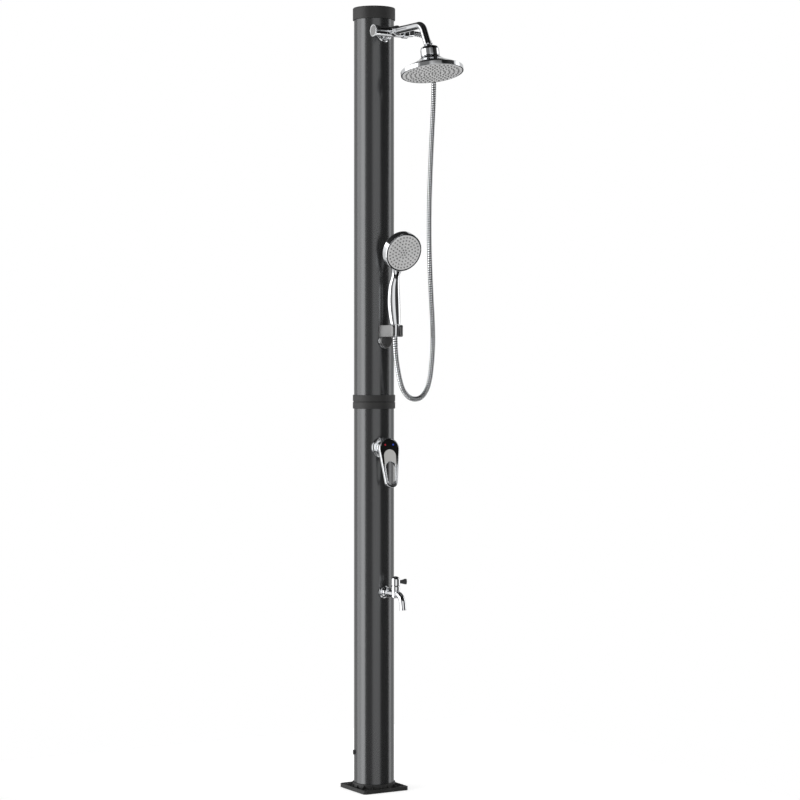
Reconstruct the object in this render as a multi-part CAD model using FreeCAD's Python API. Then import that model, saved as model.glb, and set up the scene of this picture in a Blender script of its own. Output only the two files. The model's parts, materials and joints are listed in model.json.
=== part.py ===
"""An outdoor shower post: a dark tube that stands on a ribbed foot and warms its water in the sun.

On its front it has a diverter with an overhead shower, a hand shower on a metal hose in a
cradle, a mixer with a loop lever, and a foot tap.

Millimetres. The origin is the centre of the foot's underside, +Z is up, and the fittings
face -Y. The hose hangs on the +X side and the diverter's knob is on the -X side.
"""
import FreeCAD, Part
import math
import os

Vec = FreeCAD.Vector
ORIGIN = Vec(0, 0, 0)
RIGHT = Vec(1, 0, 0)
LEFT = Vec(-1, 0, 0)
BACK = Vec(0, 1, 0)
FRONT = Vec(0, -1, 0)
UP = Vec(0, 0, 1)
DOWN = Vec(0, 0, -1)

# ---------------------------------------------------------------- driving dimensions

# Gaps between pieces, all radial or face to face.
SNUG = 0.15  # pieces that are pushed, screwed or glued together
RUNNING = 0.05  # a shaft in its bearing
SEAT_GAP = 0.3  # pieces that lift apart
CROWN_FLAT_R = 1.5  # the small flat in the middle of a domed end

# The post is two lengths of pipe over one another.
TUBE_R = 55.0
TUBE_WALL = 3.2
POST_TOP = 2143.0
JOINT_Z = 1063.2
TUBE_BORE_R = TUBE_R - TUBE_WALL

# The foot is a square plate with ribs that run out from a round socket.
FOOT_SIDE = 2 * TUBE_R + 30.0
FOOT_CORNER = 9.0
FOOT_EDGE = 10.5
FOOT_BAND = 5.0
FOOT_PAN = 6.0
FOOT_LEDGE = 4.0
FOOT_OPENING_R = TUBE_R - 9.0
SOCKET_WALL = 3.2
SOCKET_TOP = 20.0
FOOT_RIBS = 16
FOOT_RIB_WALL = 2.4
BOLT_SPACING = FOOT_SIDE - 27.0
BOLT_HOLE_R = 4.5
BOLT_BOSS_R = 9.2

# The sleeve that joins the tubes, its two outer rings, the cap and the lower plug.
SLEEVE_LENGTH = 118.0
SLEEVE_WALL = 5.5
SLEEVE_FLANGE = 2.5
SLEEVE_FLANGE_R = TUBE_R + 1.4
COLLAR_WALL = 3.1
COLLAR_LOWER = 18.0
COLLAR_UPPER = 17.0
COLLAR_ROUND = 1.2
CAP_DEPTH = 33.5
CAP_CROWN = 3.6
CAP_ROUND = 3.0
CAP_SKIRT = 9.0
PLUG_HEIGHT = 22.0
PLUG_FLOOR = 4.0
SEAL_R = 1.6
SEAL_SLACK = 0.1  # how much wider a groove is than its seal, on each side
SEAL_SINK = 1.5  # how far a seal's middle lies inside the sleeve's surface
COLLAR_R = TUBE_R + SNUG + COLLAR_WALL
SOCKET_R = TUBE_R + SNUG + SOCKET_WALL
INSERT_R = TUBE_BORE_R - SNUG  # what is pushed into a tube

# Heights of the fittings. The mixer hangs below the joint, and the diverter below the post's top.
DRAIN_Z = 102.0
INLET_Z = 150.0
TAP_Z = 545.0
MIXER_DOWN = 124.2
MIXER_Z = JOINT_Z - MIXER_DOWN
CRADLE_UP = 176.8
CRADLE_Z = JOINT_Z + CRADLE_UP
DIVERTER_DOWN = 76.0
DIVERTER_Z = POST_TOP - DIVERTER_DOWN

# A fitting's threaded shank goes through the wall and takes a hexagonal nut inside.
SHANK_R = 10.5
SHANK_END = TUBE_R - 17.0  # distance of a shank's inner end from the post's axis
SHANK_BORE_R = 6.0
NUT_ACROSS = 28.0
NUT_THICK = 6.5

# Drain plug and garden hose inlet.
DRAIN_TURN = -16.0  # degrees that the drain stands round towards the back
DRAIN_HEAD_R = 6.5
DRAIN_HEAD = 2.4
DRAIN_WASHER = 1.0
DRAIN_SHANK_R = 4.5
DRAIN_BUSH_R = 6.0
DRAIN_BUSH_FLANGE_R = 10.0
DRAIN_BUSH_DEPTH = 12.0
DRAIN_SLOT = 1.6
INLET_FLANGE_R = 19.0
INLET_FLANGE = 6.0
INLET_THREAD_R = 13.2
INLET_THREAD = 16.0
INLET_BORE_R = 8.0
FILTER_R = 10.5
FILTER_DEPTH = 2.0
FILTER_PITCH = 3.6
FILTER_HOLE_R = 1.4

# Pipes inside the post.
PIPE_R = 7.5
PIPE_BORE_R = 5.5
FEED_OUT = SHANK_END - 8.0  # the cold and mixed pipes stand this far in front of the axis
HOT_OUT = FEED_OUT - 19.0
HOT_TOP_DOWN = 101.0  # the hot pipe's open end, below the post's top
PIPE_CAP = 4.0
TEE_R = 10.5
TEE_RISE = 22.0
TEE_SOCKET_UP = 4.0  # where the cold pipe's end stands above the inlet's axis
BLOCK_HEIGHT = 36.0
BLOCK_WIDTH = 34.0
BLOCK_BACK = 1.0
CLIP_START = 311.0  # the lowest clip's foot above the mixer's axis, and then one every so often
CLIP_PITCH = 250.0
CLIP_DOWN = 107.0  # the highest clip's foot below the diverter's axis
CLIP_THICK = 10.0
CLIP_WALL = 3.0

# The round flanges that cover the holes of the mixer and the diverter, and their gaskets.
GASKET = 1.0
FLANGE_OUT = TUBE_R + 7.0
FLANGE_STEP = 3.5

# Mixer with a lever shaped like a long loop. It is drilled a few degrees round to the left.
MIXER_TURN = -8.0
MIXER_FLANGE_R = 28.0
MIXER_BODY_R = 20.0
MIXER_BODY_OUT = TUBE_R + 33.0
MIXER_CHAMBER_R = 17.0
MIXER_COVER_OUT = MIXER_BODY_OUT + 4.5
MIXER_COVER_R = 13.0
CHAMBER_FLOOR = 1.5
LEVER_PIVOT_OUT = MIXER_BODY_OUT + 8.0
LEVER_BALL_R = 11.0
SPINDLE_R = 5.0
LEVER_BACK_OUT = LEVER_PIVOT_OUT + 6.5
LEVER_THICK = 10.0
LEVER_ROUND = 1.2
LEVER_LEAN = 11.0  # degrees that the lever's lower end stands further out
LEVER_TOP_R = 29.0
LEVER_TOP_UP = -4.0  # centre of the upper round, above the mixer's axis
LEVER_END_R = 18.0
LEVER_END_UP = -92.5
WINDOW_TOP_R = 14.0
WINDOW_TOP_UP = -53.5
WINDOW_END_R = 11.0
WINDOW_END_UP = -88.5
INSET_MARGIN = 3.2
INSET_DEPTH = 2.0
INSET_END_R = 20.0
INSET_END_UP = -36.0
TONGUE_R = 17.5
TONGUE_UP = -23.5
MARK_R = 2.4
MARK_PROUD = 0.4
MARK_SIDE = 11.5
MARK_UP = 6.5
LEVER_SCREW_R = 2.5

# Diverter, the arm of the overhead shower and its ball joint.
DIVERTER_FLANGE_R = 23.0
DIVERTER_OUT = TUBE_R + 42.0
DIVERTER_STEM_R = 11.5
DIVERTER_R = 13.6
DIVERTER_LEFT = 20.0
DIVERTER_RIGHT = 30.0
SPOOL_R = 7.0
SPOOL_RIGHT = 16.0
KNOB_END = 59.0
KNOB_DISC_R = 16.6
KNOB_DISC = 2.5
KNOB_NECK_R = 13.0
KNOB_SOCKET = 12.0
OUTLET_R = 10.4
OUTLET_END = 44.0
OUTLET_BORE_R = 6.0
ARM_R = 10.0
ARM_BORE_R = 7.2
ARM_BEND_R = 30.0
ARM_CORNER_OUT = DIVERTER_OUT + 159.0
ARM_STEEP = 62.0  # degrees below level
ARM_FALL = 85.2  # from the corner to the ball's centre
ARM_START_OUT = DIVERTER_OUT + 21.5
ARM_NUT_R = 14.2
ARM_NUT = 18.0
BALL_R = 13.0
BALL_NECK_R = 7.0
BALL_NECK = 21.0
BALL_BORE_R = 4.0
HEAD_LEAN = 12.0  # degrees that the overhead shower faces forward of straight down
HEAD_SEAT_R = 17.0
HEAD_SEAT_TOP = 5.0
HEAD_SEAT_FOOT = -6.0
HEAD_NUT_R = 25.0
HEAD_NUT_TOP = 12.0
HEAD_NUT_MOUTH_R = 15.8
HEAD_NUT_FOOT = -14.0
HEAD_NECK_R = 20.0
HEAD_NECK_BORE_R = 15.5
HEAD_R = 83.0
HEAD_FACE = -61.0
HEAD_RIM = 11.0
HEAD_WALL = 2.2
HEAD_LIP = 2.5
HEAD_LIP_WIDE = 1.5
FACE_THICK = 2.6
MAT_THICK = 1.2
NOZZLE_R = 1.6
NOZZLE_TIP_R = 1.0
NOZZLE_PROUD = 3.0
HEAD_NOZZLE_RINGS = ((10, 6), (22, 12), (34, 18), (46, 24), (58, 30), (70, 36))

# Hand shower, its conical nut and the cradle that it hangs in.
CRADLE_OUT = TUBE_R + 61.0
CRADLE_HEIGHT = 32.0
CRADLE_HALF = 17.0
CRADLE_FRONT_OUT = CRADLE_OUT + 14.0
CRADLE_ROUND = 6.0
CRADLE_SLOT = 15.6
CRADLE_CORNER = 6.0
CRADLE_NOSE = 11.0
CONE_TOP_R = 12.0
CONE_FOOT_R = 8.6
CONE_HEIGHT = 33.0
GRIP_STUB_R = 7.4
GRIP_STUB = 16.0
GRIP_BORE_R = 5.0
ROSETTE_R = 19.0
ROSETTE_UP = -11.0
ROSETTE_BACK_OUT = TUBE_R + 6.5
ROSETTE_OUT = ROSETTE_BACK_OUT + 8.5
ROSETTE_SCREW_UP = 9.0
SCREW_R = 1.9
SCREW_HEAD_R = 3.8
SCREW_HEAD = 2.4
SCREW_END = TUBE_R - 6.0
HAND_R = 54.0
HAND_OUT = CRADLE_OUT + 46.0
HAND_Z = CRADLE_Z + 226.0
HAND_LEAN = 22.0  # degrees that the face looks down
HAND_RIM = 20.0
HAND_DEPTH = 31.0
HAND_WALL = 2.2
HAND_FACE_R = 49.0
HAND_FACE_PROUD = 0.6
HAND_NOZZLE_RINGS = ((8, 6), (16, 10), (25, 16), (34, 22), (43, 28))
# The grip's sections: how far in front of the cradle's axis and above its foot, lean, half width, half depth.
GRIP_SECTIONS = (
    (0.0, 33.5, 0.0, 14.0, 12.5),
    (-4.5, 60.0, 0.0, 16.8, 14.5),
    (-8.0, 95.0, 2.0, 18.0, 15.0),
    (-7.0, 135.0, 8.0, 15.6, 13.0),
    (1.0, 165.0, 16.0, 11.4, 10.0),
    (12.0, 188.0, 22.0, 19.0, 9.0),
    (25.0, 212.0, 22.0, 34.0, 7.5),
)

# Metal hose with ribs. Its route is given by its corners, each rounded as far as its runs allow.
HOSE_R = 7.0
HOSE_ROOT_R = 6.2
HOSE_BORE_R = 5.2
HOSE_RIBS = 198
ROUND_SHARE = 0.45
HOSE_START_OUT = 66.0  # from the post's axis along +X
HOSE_NUT_R = 15.5
HOSE_NUT = 15.0
HOSE_FERRULE_R = 9.2
HOSE_ROUTE = (
    (66.0, -97.0, 2067.0),
    (92.0, -97.0, 2067.0),
    (114.0, -97.3, 2055.0),
    (127.0, -97.8, 2031.5),
    (132.0, -98.6, 1995.0),
    (132.5, -99.8, 1945.0),
    (129.5, -101.5, 1870.0),
    (122.0, -103.8, 1770.0),
    (112.5, -107.5, 1610.0),
    (110.5, -110.5, 1480.0),
    (115.0, -113.5, 1350.0),
    (120.5, -116.0, 1240.0),
    (115.0, -116.3, 1158.0),
    (106.0, -116.4, 1109.0),
    (92.0, -116.4, 1084.0),
    (74.0, -116.4, 1071.0),
    (50.0, -116.4, 1071.0),
    (31.0, -116.4, 1085.0),
    (17.0, -116.3, 1110.0),
    (6.0, -116.2, 1160.0),
    (0.0, -116.0, 1205.0),
    (0.0, -116.0, 1240.0),
)

# Foot tap.
TAP_FLANGE_R = 17.0
TAP_FLANGE_OUT = TUBE_R + 6.0
TAP_FLANGE_STEP = 2.5
TAP_BARREL_R = 9.5
TAP_RING_R = 12.5
TAP_RING_OUT = TUBE_R + 21.0
TAP_RING = 7.0
TAP_OUT = TUBE_R + 63.0
TAP_CHAMBER_R = 11.0
TAP_CHAMBER_BORE_R = 8.0
TAP_CHAMBER_TOP = 12.0
TAP_CHAMBER_FOOT = -11.0
TAP_BONNET_R = 11.6
TAP_BONNET_TOP = 22.0
TAP_SPINDLE_R = 4.0
TAP_SPINDLE_HEAD_R = 7.6
TAP_HUB_R = 11.8
TAP_HUB_TOP = 48.0
TAP_PADDLE_END = 34.0
TAP_PADDLE_UP = 32.0
TAP_PADDLE_THICK = 7.0
TAP_PADDLE_ROOT = 10.0
TAP_PADDLE_FLARE = 17.0
SPOUT_R = 8.8
SPOUT_BORE_R = 6.6
SPOUT_OUT = TAP_OUT + 39.0
SPOUT_DROP = 41.0
SPOUT_BEND_R = 26.0
SPOUT_LEAN = 8.0  # degrees that the spout's end stands forward of straight down

# ---------------------------------------------------------------- shapes


def rod(radius, length, start=ORIGIN, direction=UP):
    return Part.makeCylinder(radius, length, start, direction)


def ring(outer, inner, length, start=ORIGIN, direction=UP):
    return rod(outer, length, start, direction).cut(rod(inner, length, start, direction))


def at_height(z):
    return Vec(0, 0, z)


def placed(shape, start, direction):
    """A shape made about +Z, moved to start and turned to stand along direction."""
    moved = shape.copy()
    moved.Placement = FreeCAD.Placement(start, FreeCAD.Rotation(UP, direction))
    return moved


def swung(shape, degrees, axis=UP, centre=ORIGIN):
    turned_shape = shape.copy()
    turned_shape.rotate(centre, axis, degrees)
    return turned_shape


def outline(first, *steps):
    """A closed flat face in XZ. A step is the next corner, or an arc: (through, end)."""
    here = Vec(first[0], 0, first[1])
    edges = []
    for step in (*steps, first):
        if isinstance(step[0], tuple):
            through, end = (Vec(x, 0, z) for x, z in step)
            edges.append(Part.Arc(here, through, end).toShape())
        else:
            end = Vec(step[0], 0, step[1])
            if end.distanceToPoint(here) > 1e-6:
                edges.append(Part.makeLine(here, end))
        here = end
    return Part.Face(Part.Wire(edges))


def lathe(*steps, start=ORIGIN, direction=UP):
    """A turned solid. Its outline gives the radius and the height along direction."""
    return placed(outline(*steps).revolve(ORIGIN, UP, 360), start, direction)


def hexagon(across_flats, length, start, direction):
    corner = across_flats / math.sqrt(3)
    points = [
        Vec(corner * math.cos(math.radians(60 * k)), corner * math.sin(math.radians(60 * k)), 0)
        for k in range(7)
    ]
    prism = Part.Face(Part.makePolygon(points)).extrude(Vec(0, 0, length))
    return placed(prism, start, direction)


def box(x, y, z):
    """A box from three (low, high) pairs."""
    return Part.makeBox(x[1] - x[0], y[1] - y[0], z[1] - z[0], Vec(x[0], y[0], z[0]))


def square_prism(side, corner, low, high):
    """A square prism about the post's axis with rounded upright edges."""
    half = side / 2
    prism = box((-half, half), (-half, half), (low, high))
    upright = [e for e in prism.Edges if abs(e.BoundBox.ZLength - (high - low)) < 1e-6]
    return prism.makeFillet(corner, upright)


def loop_plate(top_r, top_up, end_r, end_up, thick):
    """A plate in XY with two round ends and straight sides that touch both rounds."""
    fall = top_up - end_up
    slope = math.asin((top_r - end_r) / fall)
    wide, rise = math.cos(slope), -math.sin(slope)
    top_side = (top_r * wide, top_up + top_r * rise)
    end_side = (end_r * wide, end_up + end_r * rise)
    top_right, top_left = (Vec(side * top_side[0], top_side[1], 0) for side in (1, -1))
    end_right, end_left = (Vec(side * end_side[0], end_side[1], 0) for side in (1, -1))
    edges = [
        Part.Arc(top_right, Vec(0, top_up + top_r, 0), top_left).toShape(),
        Part.makeLine(top_left, end_left),
        Part.Arc(end_left, Vec(0, end_up - end_r, 0), end_right).toShape(),
        Part.makeLine(end_right, top_right),
    ]
    return Part.Face(Part.Wire(edges)).extrude(Vec(0, 0, thick))


def tube_along(wire, radius):
    """A round bar along a smooth wire."""
    first = wire.OrderedEdges[0]
    start = first.FirstParameter
    profile = Part.Wire(Part.makeCircle(radius, first.valueAt(start), first.tangentAt(start)))
    return wire.makePipeShell([profile], True, False)


def rounded_path(points, radii):
    """Straight runs between the points, joined at each inner point by an arc of its radius."""
    edges, here = [], points[0]
    for before, corner, after, radius in zip(points, points[1:], points[2:], radii):
        back, on = (before - corner).normalize(), (after - corner).normalize()
        half_turn = (math.pi - back.getAngle(on)) / 2
        reach = radius * math.tan(half_turn)
        start, end = corner + back * reach, corner + on * reach
        middle = (back + on).normalize() * (radius / math.cos(half_turn) - radius)
        edges.append(Part.makeLine(here, start))
        edges.append(Part.Arc(start, corner + middle, end).toShape())
        here = end
    edges.append(Part.makeLine(here, points[-1]))
    return Part.Wire(edges)


def corner_radii(points):
    """The radius at each inner corner: a set share of the shorter run, whatever the turn."""
    radii = []
    for before, corner, after in zip(points, points[1:], points[2:]):
        back, on = before - corner, after - corner
        half_turn = (math.pi - back.getAngle(on)) / 2
        radii.append(ROUND_SHARE * min(back.Length, on.Length) / math.tan(half_turn))
    return radii


def spots_on_rings(rings):
    """Points on circles about the origin, from (radius, count) pairs, with one in the middle."""
    spots = [Vec(0, 0, 0)]
    for number, (radius, count) in enumerate(rings):
        for k in range(count):
            angle = 2 * math.pi * (k + 0.5 * (number % 2)) / count
            spots.append(Vec(radius * math.cos(angle), radius * math.sin(angle), 0))
    return spots


def joined(shapes):
    return shapes[0].multiFuse(shapes[1:]).removeSplitter() if len(shapes) > 1 else shapes[0]


def grouped(shapes):
    return Part.makeCompound(shapes)


def off_post(shape, gap=0.0):
    """What is left of a shape outside the post's surface, so that it sits on it like a saddle."""
    return shape.cut(rod(TUBE_R + gap, POST_TOP))


# ---------------------------------------------------------------- places

MIXER_FRONT = Vec(math.sin(math.radians(MIXER_TURN)), -math.cos(math.radians(MIXER_TURN)), 0)
FEED = MIXER_FRONT * FEED_OUT
HOT = MIXER_FRONT * HOT_OUT
CAP_Z = POST_TOP - CAP_DEPTH
UPPER_TUBE_TOP = POST_TOP - CAP_CROWN - SNUG
UPPER_TUBE_FOOT = JOINT_Z + SLEEVE_FLANGE / 2
LOWER_TUBE_TOP = JOINT_Z - SLEEVE_FLANGE / 2
SLEEVE_FOOT = JOINT_Z - SLEEVE_LENGTH / 2
PLUG_FOOT = FOOT_LEDGE
HOSE_END = Vec(*HOSE_ROUTE[-1])
DIVERTER_CENTRE = Vec(0, -DIVERTER_OUT, DIVERTER_Z)
ARM_DOWN = Vec(0, -math.cos(math.radians(ARM_STEEP)), -math.sin(math.radians(ARM_STEEP)))
ARM_CORNER = Vec(0, -ARM_CORNER_OUT, DIVERTER_Z)
BALL_CENTRE = ARM_CORNER + ARM_DOWN * ARM_FALL
HEAD_UP = Vec(0, math.sin(math.radians(HEAD_LEAN)), math.cos(math.radians(HEAD_LEAN)))
CRADLE_SEAT = Vec(0, -CRADLE_OUT, CRADLE_Z)
HAND_CENTRE = Vec(0, -HAND_OUT, HAND_Z)
HAND_FACING = Vec(0, -math.cos(math.radians(HAND_LEAN)), -math.sin(math.radians(HAND_LEAN)))
TAP_CENTRE = Vec(0, -TAP_OUT, TAP_Z)
SPOUT_END = Vec(0, -SPOUT_OUT, TAP_Z - SPOUT_DROP)

# Each fitting's shank: its height and the way that it faces.
SHANKS = (
    (INLET_Z, BACK),
    (TAP_Z, FRONT),
    (MIXER_Z, MIXER_FRONT),
    (DIVERTER_Z, FRONT),
)


def out_from(height, direction, distance):
    """The point at a height and a distance from the post's axis."""
    return Vec(0, 0, height) + direction * distance


def shank(height, direction, out):
    """A threaded shank from its inner end to a distance from the axis."""
    return rod(SHANK_R, out - SHANK_END, out_from(height, direction, SHANK_END), direction)


def shank_bore(height, direction, out):
    return rod(SHANK_BORE_R, out - SHANK_END, out_from(height, direction, SHANK_END), direction)


# ---------------------------------------------------------------- the foot and the tubes


def base_plate():
    plate = square_prism(FOOT_SIDE, FOOT_CORNER, 0, FOOT_EDGE)
    pan = square_prism(FOOT_SIDE - 2 * FOOT_BAND, FOOT_CORNER - FOOT_BAND / 2, FOOT_PAN, FOOT_EDGE)
    pieces = [plate.cut(pan), rod(SOCKET_R, SOCKET_TOP)]
    rib_top = SOCKET_TOP - 1.5
    for k in range(FOOT_RIBS):
        angle = 360 * (k + 0.5) / FOOT_RIBS
        sides = (abs(math.cos(math.radians(angle))), abs(math.sin(math.radians(angle))))
        reach = (FOOT_SIDE - FOOT_BAND) / 2 / max(sides)
        rib = outline((SOCKET_R - 1, 1), (reach, 1), (reach, FOOT_PAN), (SOCKET_R - 1, rib_top))
        rib = rib.extrude(Vec(0, FOOT_RIB_WALL, 0)).translated(Vec(0, -FOOT_RIB_WALL / 2, 0))
        pieces.append(swung(rib, angle))
    half = BOLT_SPACING / 2
    corners = [Vec(x, y, 0) for x in (-half, half) for y in (-half, half)]
    pieces += [rod(BOLT_BOSS_R, FOOT_EDGE, c) for c in corners]
    solid = joined(pieces)
    holes = [rod(BOLT_HOLE_R, SOCKET_TOP, c) for c in corners]
    holes += [rod(TUBE_R + SNUG, SOCKET_TOP, at_height(FOOT_LEDGE)), rod(FOOT_OPENING_R, FOOT_LEDGE)]
    return solid.cut(holes)


def shank_holes(low, high):
    return [
        rod(SHANK_R + SNUG, TUBE_R + 1, at_height(z), direction)
        for z, direction in SHANKS
        if low < z < high
    ]


def lower_tube():
    tube = ring(TUBE_R, TUBE_BORE_R, LOWER_TUBE_TOP - FOOT_LEDGE, at_height(FOOT_LEDGE))
    drain = swung(rod(DRAIN_BUSH_R + SNUG, TUBE_R + 1, at_height(DRAIN_Z), LEFT), DRAIN_TURN)
    return tube.cut(shank_holes(0, LOWER_TUBE_TOP) + [drain])


def upper_tube():
    tube = ring(TUBE_R, TUBE_BORE_R, UPPER_TUBE_TOP - UPPER_TUBE_FOOT, at_height(UPPER_TUBE_FOOT))
    screws = [rod(SCREW_R + SNUG, TUBE_R + 1, at_height(z), FRONT) for z in screw_heights()]
    return tube.cut(shank_holes(UPPER_TUBE_FOOT, POST_TOP) + screws)


def seal_groove(height):
    """What a seal's groove takes out of an insert."""
    groove = 2 * (SEAL_R + SEAL_SLACK)
    return ring(INSERT_R + 1, INSERT_R - SEAL_SINK - SEAL_R, groove, at_height(height - groove / 2))


def seal_heights():
    return (
        PLUG_FOOT + PLUG_HEIGHT / 2,
        JOINT_Z - SLEEVE_LENGTH / 4,
        JOINT_Z + SLEEVE_LENGTH / 4,
        CAP_Z - CAP_SKIRT / 2 + 6,
    )


def tube_seals():
    return grouped(
        [Part.makeTorus(INSERT_R - SEAL_SINK, SEAL_R, at_height(z), UP) for z in seal_heights()]
    )


def bottom_plug():
    plug = rod(INSERT_R, PLUG_HEIGHT, at_height(PLUG_FOOT))
    hollow = rod(INSERT_R - SLEEVE_WALL, PLUG_HEIGHT - PLUG_FLOOR, at_height(PLUG_FOOT + PLUG_FLOOR))
    return plug.cut([hollow, seal_groove(seal_heights()[0])])


def union_sleeve():
    sleeve = rod(INSERT_R, SLEEVE_LENGTH, at_height(SLEEVE_FOOT))
    flange = rod(SLEEVE_FLANGE_R, SLEEVE_FLANGE, at_height(JOINT_Z - SLEEVE_FLANGE / 2))
    bore = rod(INSERT_R - SLEEVE_WALL, SLEEVE_LENGTH, at_height(SLEEVE_FOOT))
    return sleeve.fuse(flange).cut([bore] + [seal_groove(z) for z in seal_heights()[1:3]])


def collar(foot, height):
    body = rod(COLLAR_R, height, at_height(foot))
    rims = [e for e in body.Edges if e.Length > COLLAR_R and e.BoundBox.ZLength < 1e-6]
    return body.makeFillet(COLLAR_ROUND, rims).cut(rod(TUBE_R + SNUG, height, at_height(foot)))


def top_cap():
    body = rod(COLLAR_R, CAP_DEPTH, at_height(CAP_Z))
    rims = [e for e in body.Edges if e.BoundBox.ZLength < 1e-6]
    top_rim = [e for e in rims if e.BoundBox.ZMax > POST_TOP - 1]
    foot_rim = [e for e in rims if e.BoundBox.ZMax < CAP_Z + 1]
    body = body.makeFillet(CAP_ROUND, top_rim).makeFillet(COLLAR_ROUND, foot_rim)
    body = body.cut(rod(TUBE_R + SNUG, CAP_DEPTH - CAP_CROWN, at_height(CAP_Z)))
    skirt_foot = CAP_Z - CAP_SKIRT
    skirt = ring(
        INSERT_R, INSERT_R - SLEEVE_WALL, POST_TOP - CAP_CROWN - skirt_foot + 1, at_height(skirt_foot)
    )
    return body.fuse(skirt).cut(seal_groove(seal_heights()[3]))


# ---------------------------------------------------------------- drain, inlet and inner pipes


def drain_bush():
    """A threaded bush that fills the hole in the wall and has a flange inside."""
    stem = rod(DRAIN_BUSH_R, TUBE_R, at_height(DRAIN_Z), LEFT)
    flange = rod(DRAIN_BUSH_FLANGE_R, TUBE_BORE_R, at_height(DRAIN_Z), LEFT)
    flange = flange.common(rod(TUBE_BORE_R - RUNNING, POST_TOP))
    stem = stem.common(rod(TUBE_R, POST_TOP))
    inner = TUBE_BORE_R - DRAIN_BUSH_DEPTH
    away = box((-inner, inner), (-inner, inner), (DRAIN_Z - inner, DRAIN_Z + inner))
    bush = stem.fuse(flange).cut([away, rod(DRAIN_SHANK_R + SNUG, TUBE_R, at_height(DRAIN_Z), LEFT)])
    return swung(bush, DRAIN_TURN)


def drain_washer():
    disc = ring(
        DRAIN_HEAD_R, DRAIN_SHANK_R + SNUG, TUBE_R + DRAIN_WASHER, at_height(DRAIN_Z), LEFT
    )
    return swung(off_post(disc.common(rod(TUBE_R + DRAIN_WASHER, POST_TOP))), DRAIN_TURN)


def drain_plug():
    head = lathe(
        (0, 0),
        (DRAIN_HEAD_R, 0),
        (DRAIN_HEAD_R, TUBE_R + DRAIN_WASHER + DRAIN_HEAD - 1),
        (DRAIN_HEAD_R - 1, TUBE_R + DRAIN_WASHER + DRAIN_HEAD),
        (0, TUBE_R + DRAIN_WASHER + DRAIN_HEAD),
        start=at_height(DRAIN_Z),
        direction=LEFT,
    )
    head = off_post(head, DRAIN_WASHER)
    inner = TUBE_BORE_R - DRAIN_BUSH_DEPTH + 2
    stem = rod(DRAIN_SHANK_R, TUBE_R + 2 - inner, out_from(DRAIN_Z, LEFT, inner), LEFT)
    outer = TUBE_R + DRAIN_WASHER + DRAIN_HEAD
    across = (-DRAIN_HEAD_R, DRAIN_HEAD_R)
    slot = box((-outer, -outer + DRAIN_SLOT), across, (DRAIN_Z - DRAIN_SLOT / 2, DRAIN_Z + DRAIN_SLOT / 2))
    return swung(head.fuse(stem).cut(slot), DRAIN_TURN)


def inlet_spigot():
    """The garden hose's threaded spigot, with a flange on the post and a shank through the wall."""
    face = TUBE_R + INLET_FLANGE
    flange = off_post(rod(INLET_FLANGE_R, face, at_height(INLET_Z), BACK))
    flange = flange.cut(rod(INLET_FLANGE_R, face, at_height(INLET_Z), FRONT))
    thread = rod(INLET_THREAD_R, INLET_THREAD, out_from(INLET_Z, BACK, face), BACK)
    tip = face + INLET_THREAD
    recess = rod(FILTER_R, FILTER_DEPTH, out_from(INLET_Z, BACK, tip - FILTER_DEPTH), BACK)
    bore = rod(INLET_BORE_R, tip - SHANK_END, out_from(INLET_Z, BACK, SHANK_END), BACK)
    return joined([shank(INLET_Z, BACK, face), flange, thread]).cut([recess, bore])


def inlet_filter():
    """The strainer disc in the spigot's mouth: a rim and a grid of bars."""
    tip = TUBE_R + INLET_FLANGE + INLET_THREAD
    start = out_from(INLET_Z, BACK, tip - FILTER_DEPTH)
    disc = rod(FILTER_R - SNUG, FILTER_DEPTH, start, BACK)
    holes = []
    for row in (-2, -1, 0, 1, 2):
        for column in (-2, -1, 0, 1, 2):
            if math.hypot(row, column) * FILTER_PITCH < FILTER_R - 2 * FILTER_HOLE_R:
                centre = start + Vec(row, 0, column) * FILTER_PITCH
                holes.append(rod(FILTER_HOLE_R, FILTER_DEPTH, centre, BACK))
    return disc.cut(holes)


def feed_tee():
    """The tee behind the inlet: up to the cold pipe, and down into the post to fill it."""
    inner_end = BACK * (SHANK_END - SNUG)
    barrel_end = inner_end + at_height(INLET_Z)
    centre = FEED + at_height(INLET_Z)
    run = centre - barrel_end
    low = centre + DOWN * TEE_RISE
    upright = rod(TEE_R, 2 * TEE_RISE, low)
    pieces = joined([rod(TEE_R, run.Length, barrel_end, run), upright])
    bores = [
        rod(PIPE_BORE_R, run.Length, barrel_end, run),
        rod(PIPE_BORE_R, 2 * TEE_RISE, low),
        rod(PIPE_R + SNUG, TEE_RISE, centre + UP * TEE_SOCKET_UP),
    ]
    front = rod(TEE_R, SHANK_R * 2, barrel_end, BACK)
    return pieces.cut(bores + [front])


def branch(height):
    """The stub from the feed line to a front fitting's shank, and its bore."""
    start = out_from(height, FRONT, FEED_OUT)
    length = SHANK_END - SNUG - FEED_OUT
    return rod(SHANK_R, length, start, FRONT), rod(PIPE_BORE_R, length, start, FRONT)


def cold_pipe():
    foot = INLET_Z + TEE_SOCKET_UP + SNUG
    top = MIXER_Z - BLOCK_HEIGHT / 2 - SNUG
    stub, stub_bore = branch(TAP_Z)
    column = rod(PIPE_R, top - foot, FEED + at_height(foot))
    return column.fuse(stub).cut([rod(PIPE_BORE_R, top - foot, FEED + at_height(foot)), stub_bore])


def mixed_pipe():
    foot = MIXER_Z + BLOCK_HEIGHT / 2 + SNUG
    top = DIVERTER_Z + SHANK_R + PIPE_CAP
    stub, stub_bore = branch(DIVERTER_Z)
    column = rod(PIPE_R, top - foot, FEED + at_height(foot))
    return column.fuse(stub).cut([rod(PIPE_BORE_R, top - foot - PIPE_CAP, FEED + at_height(foot)), stub_bore])


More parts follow.
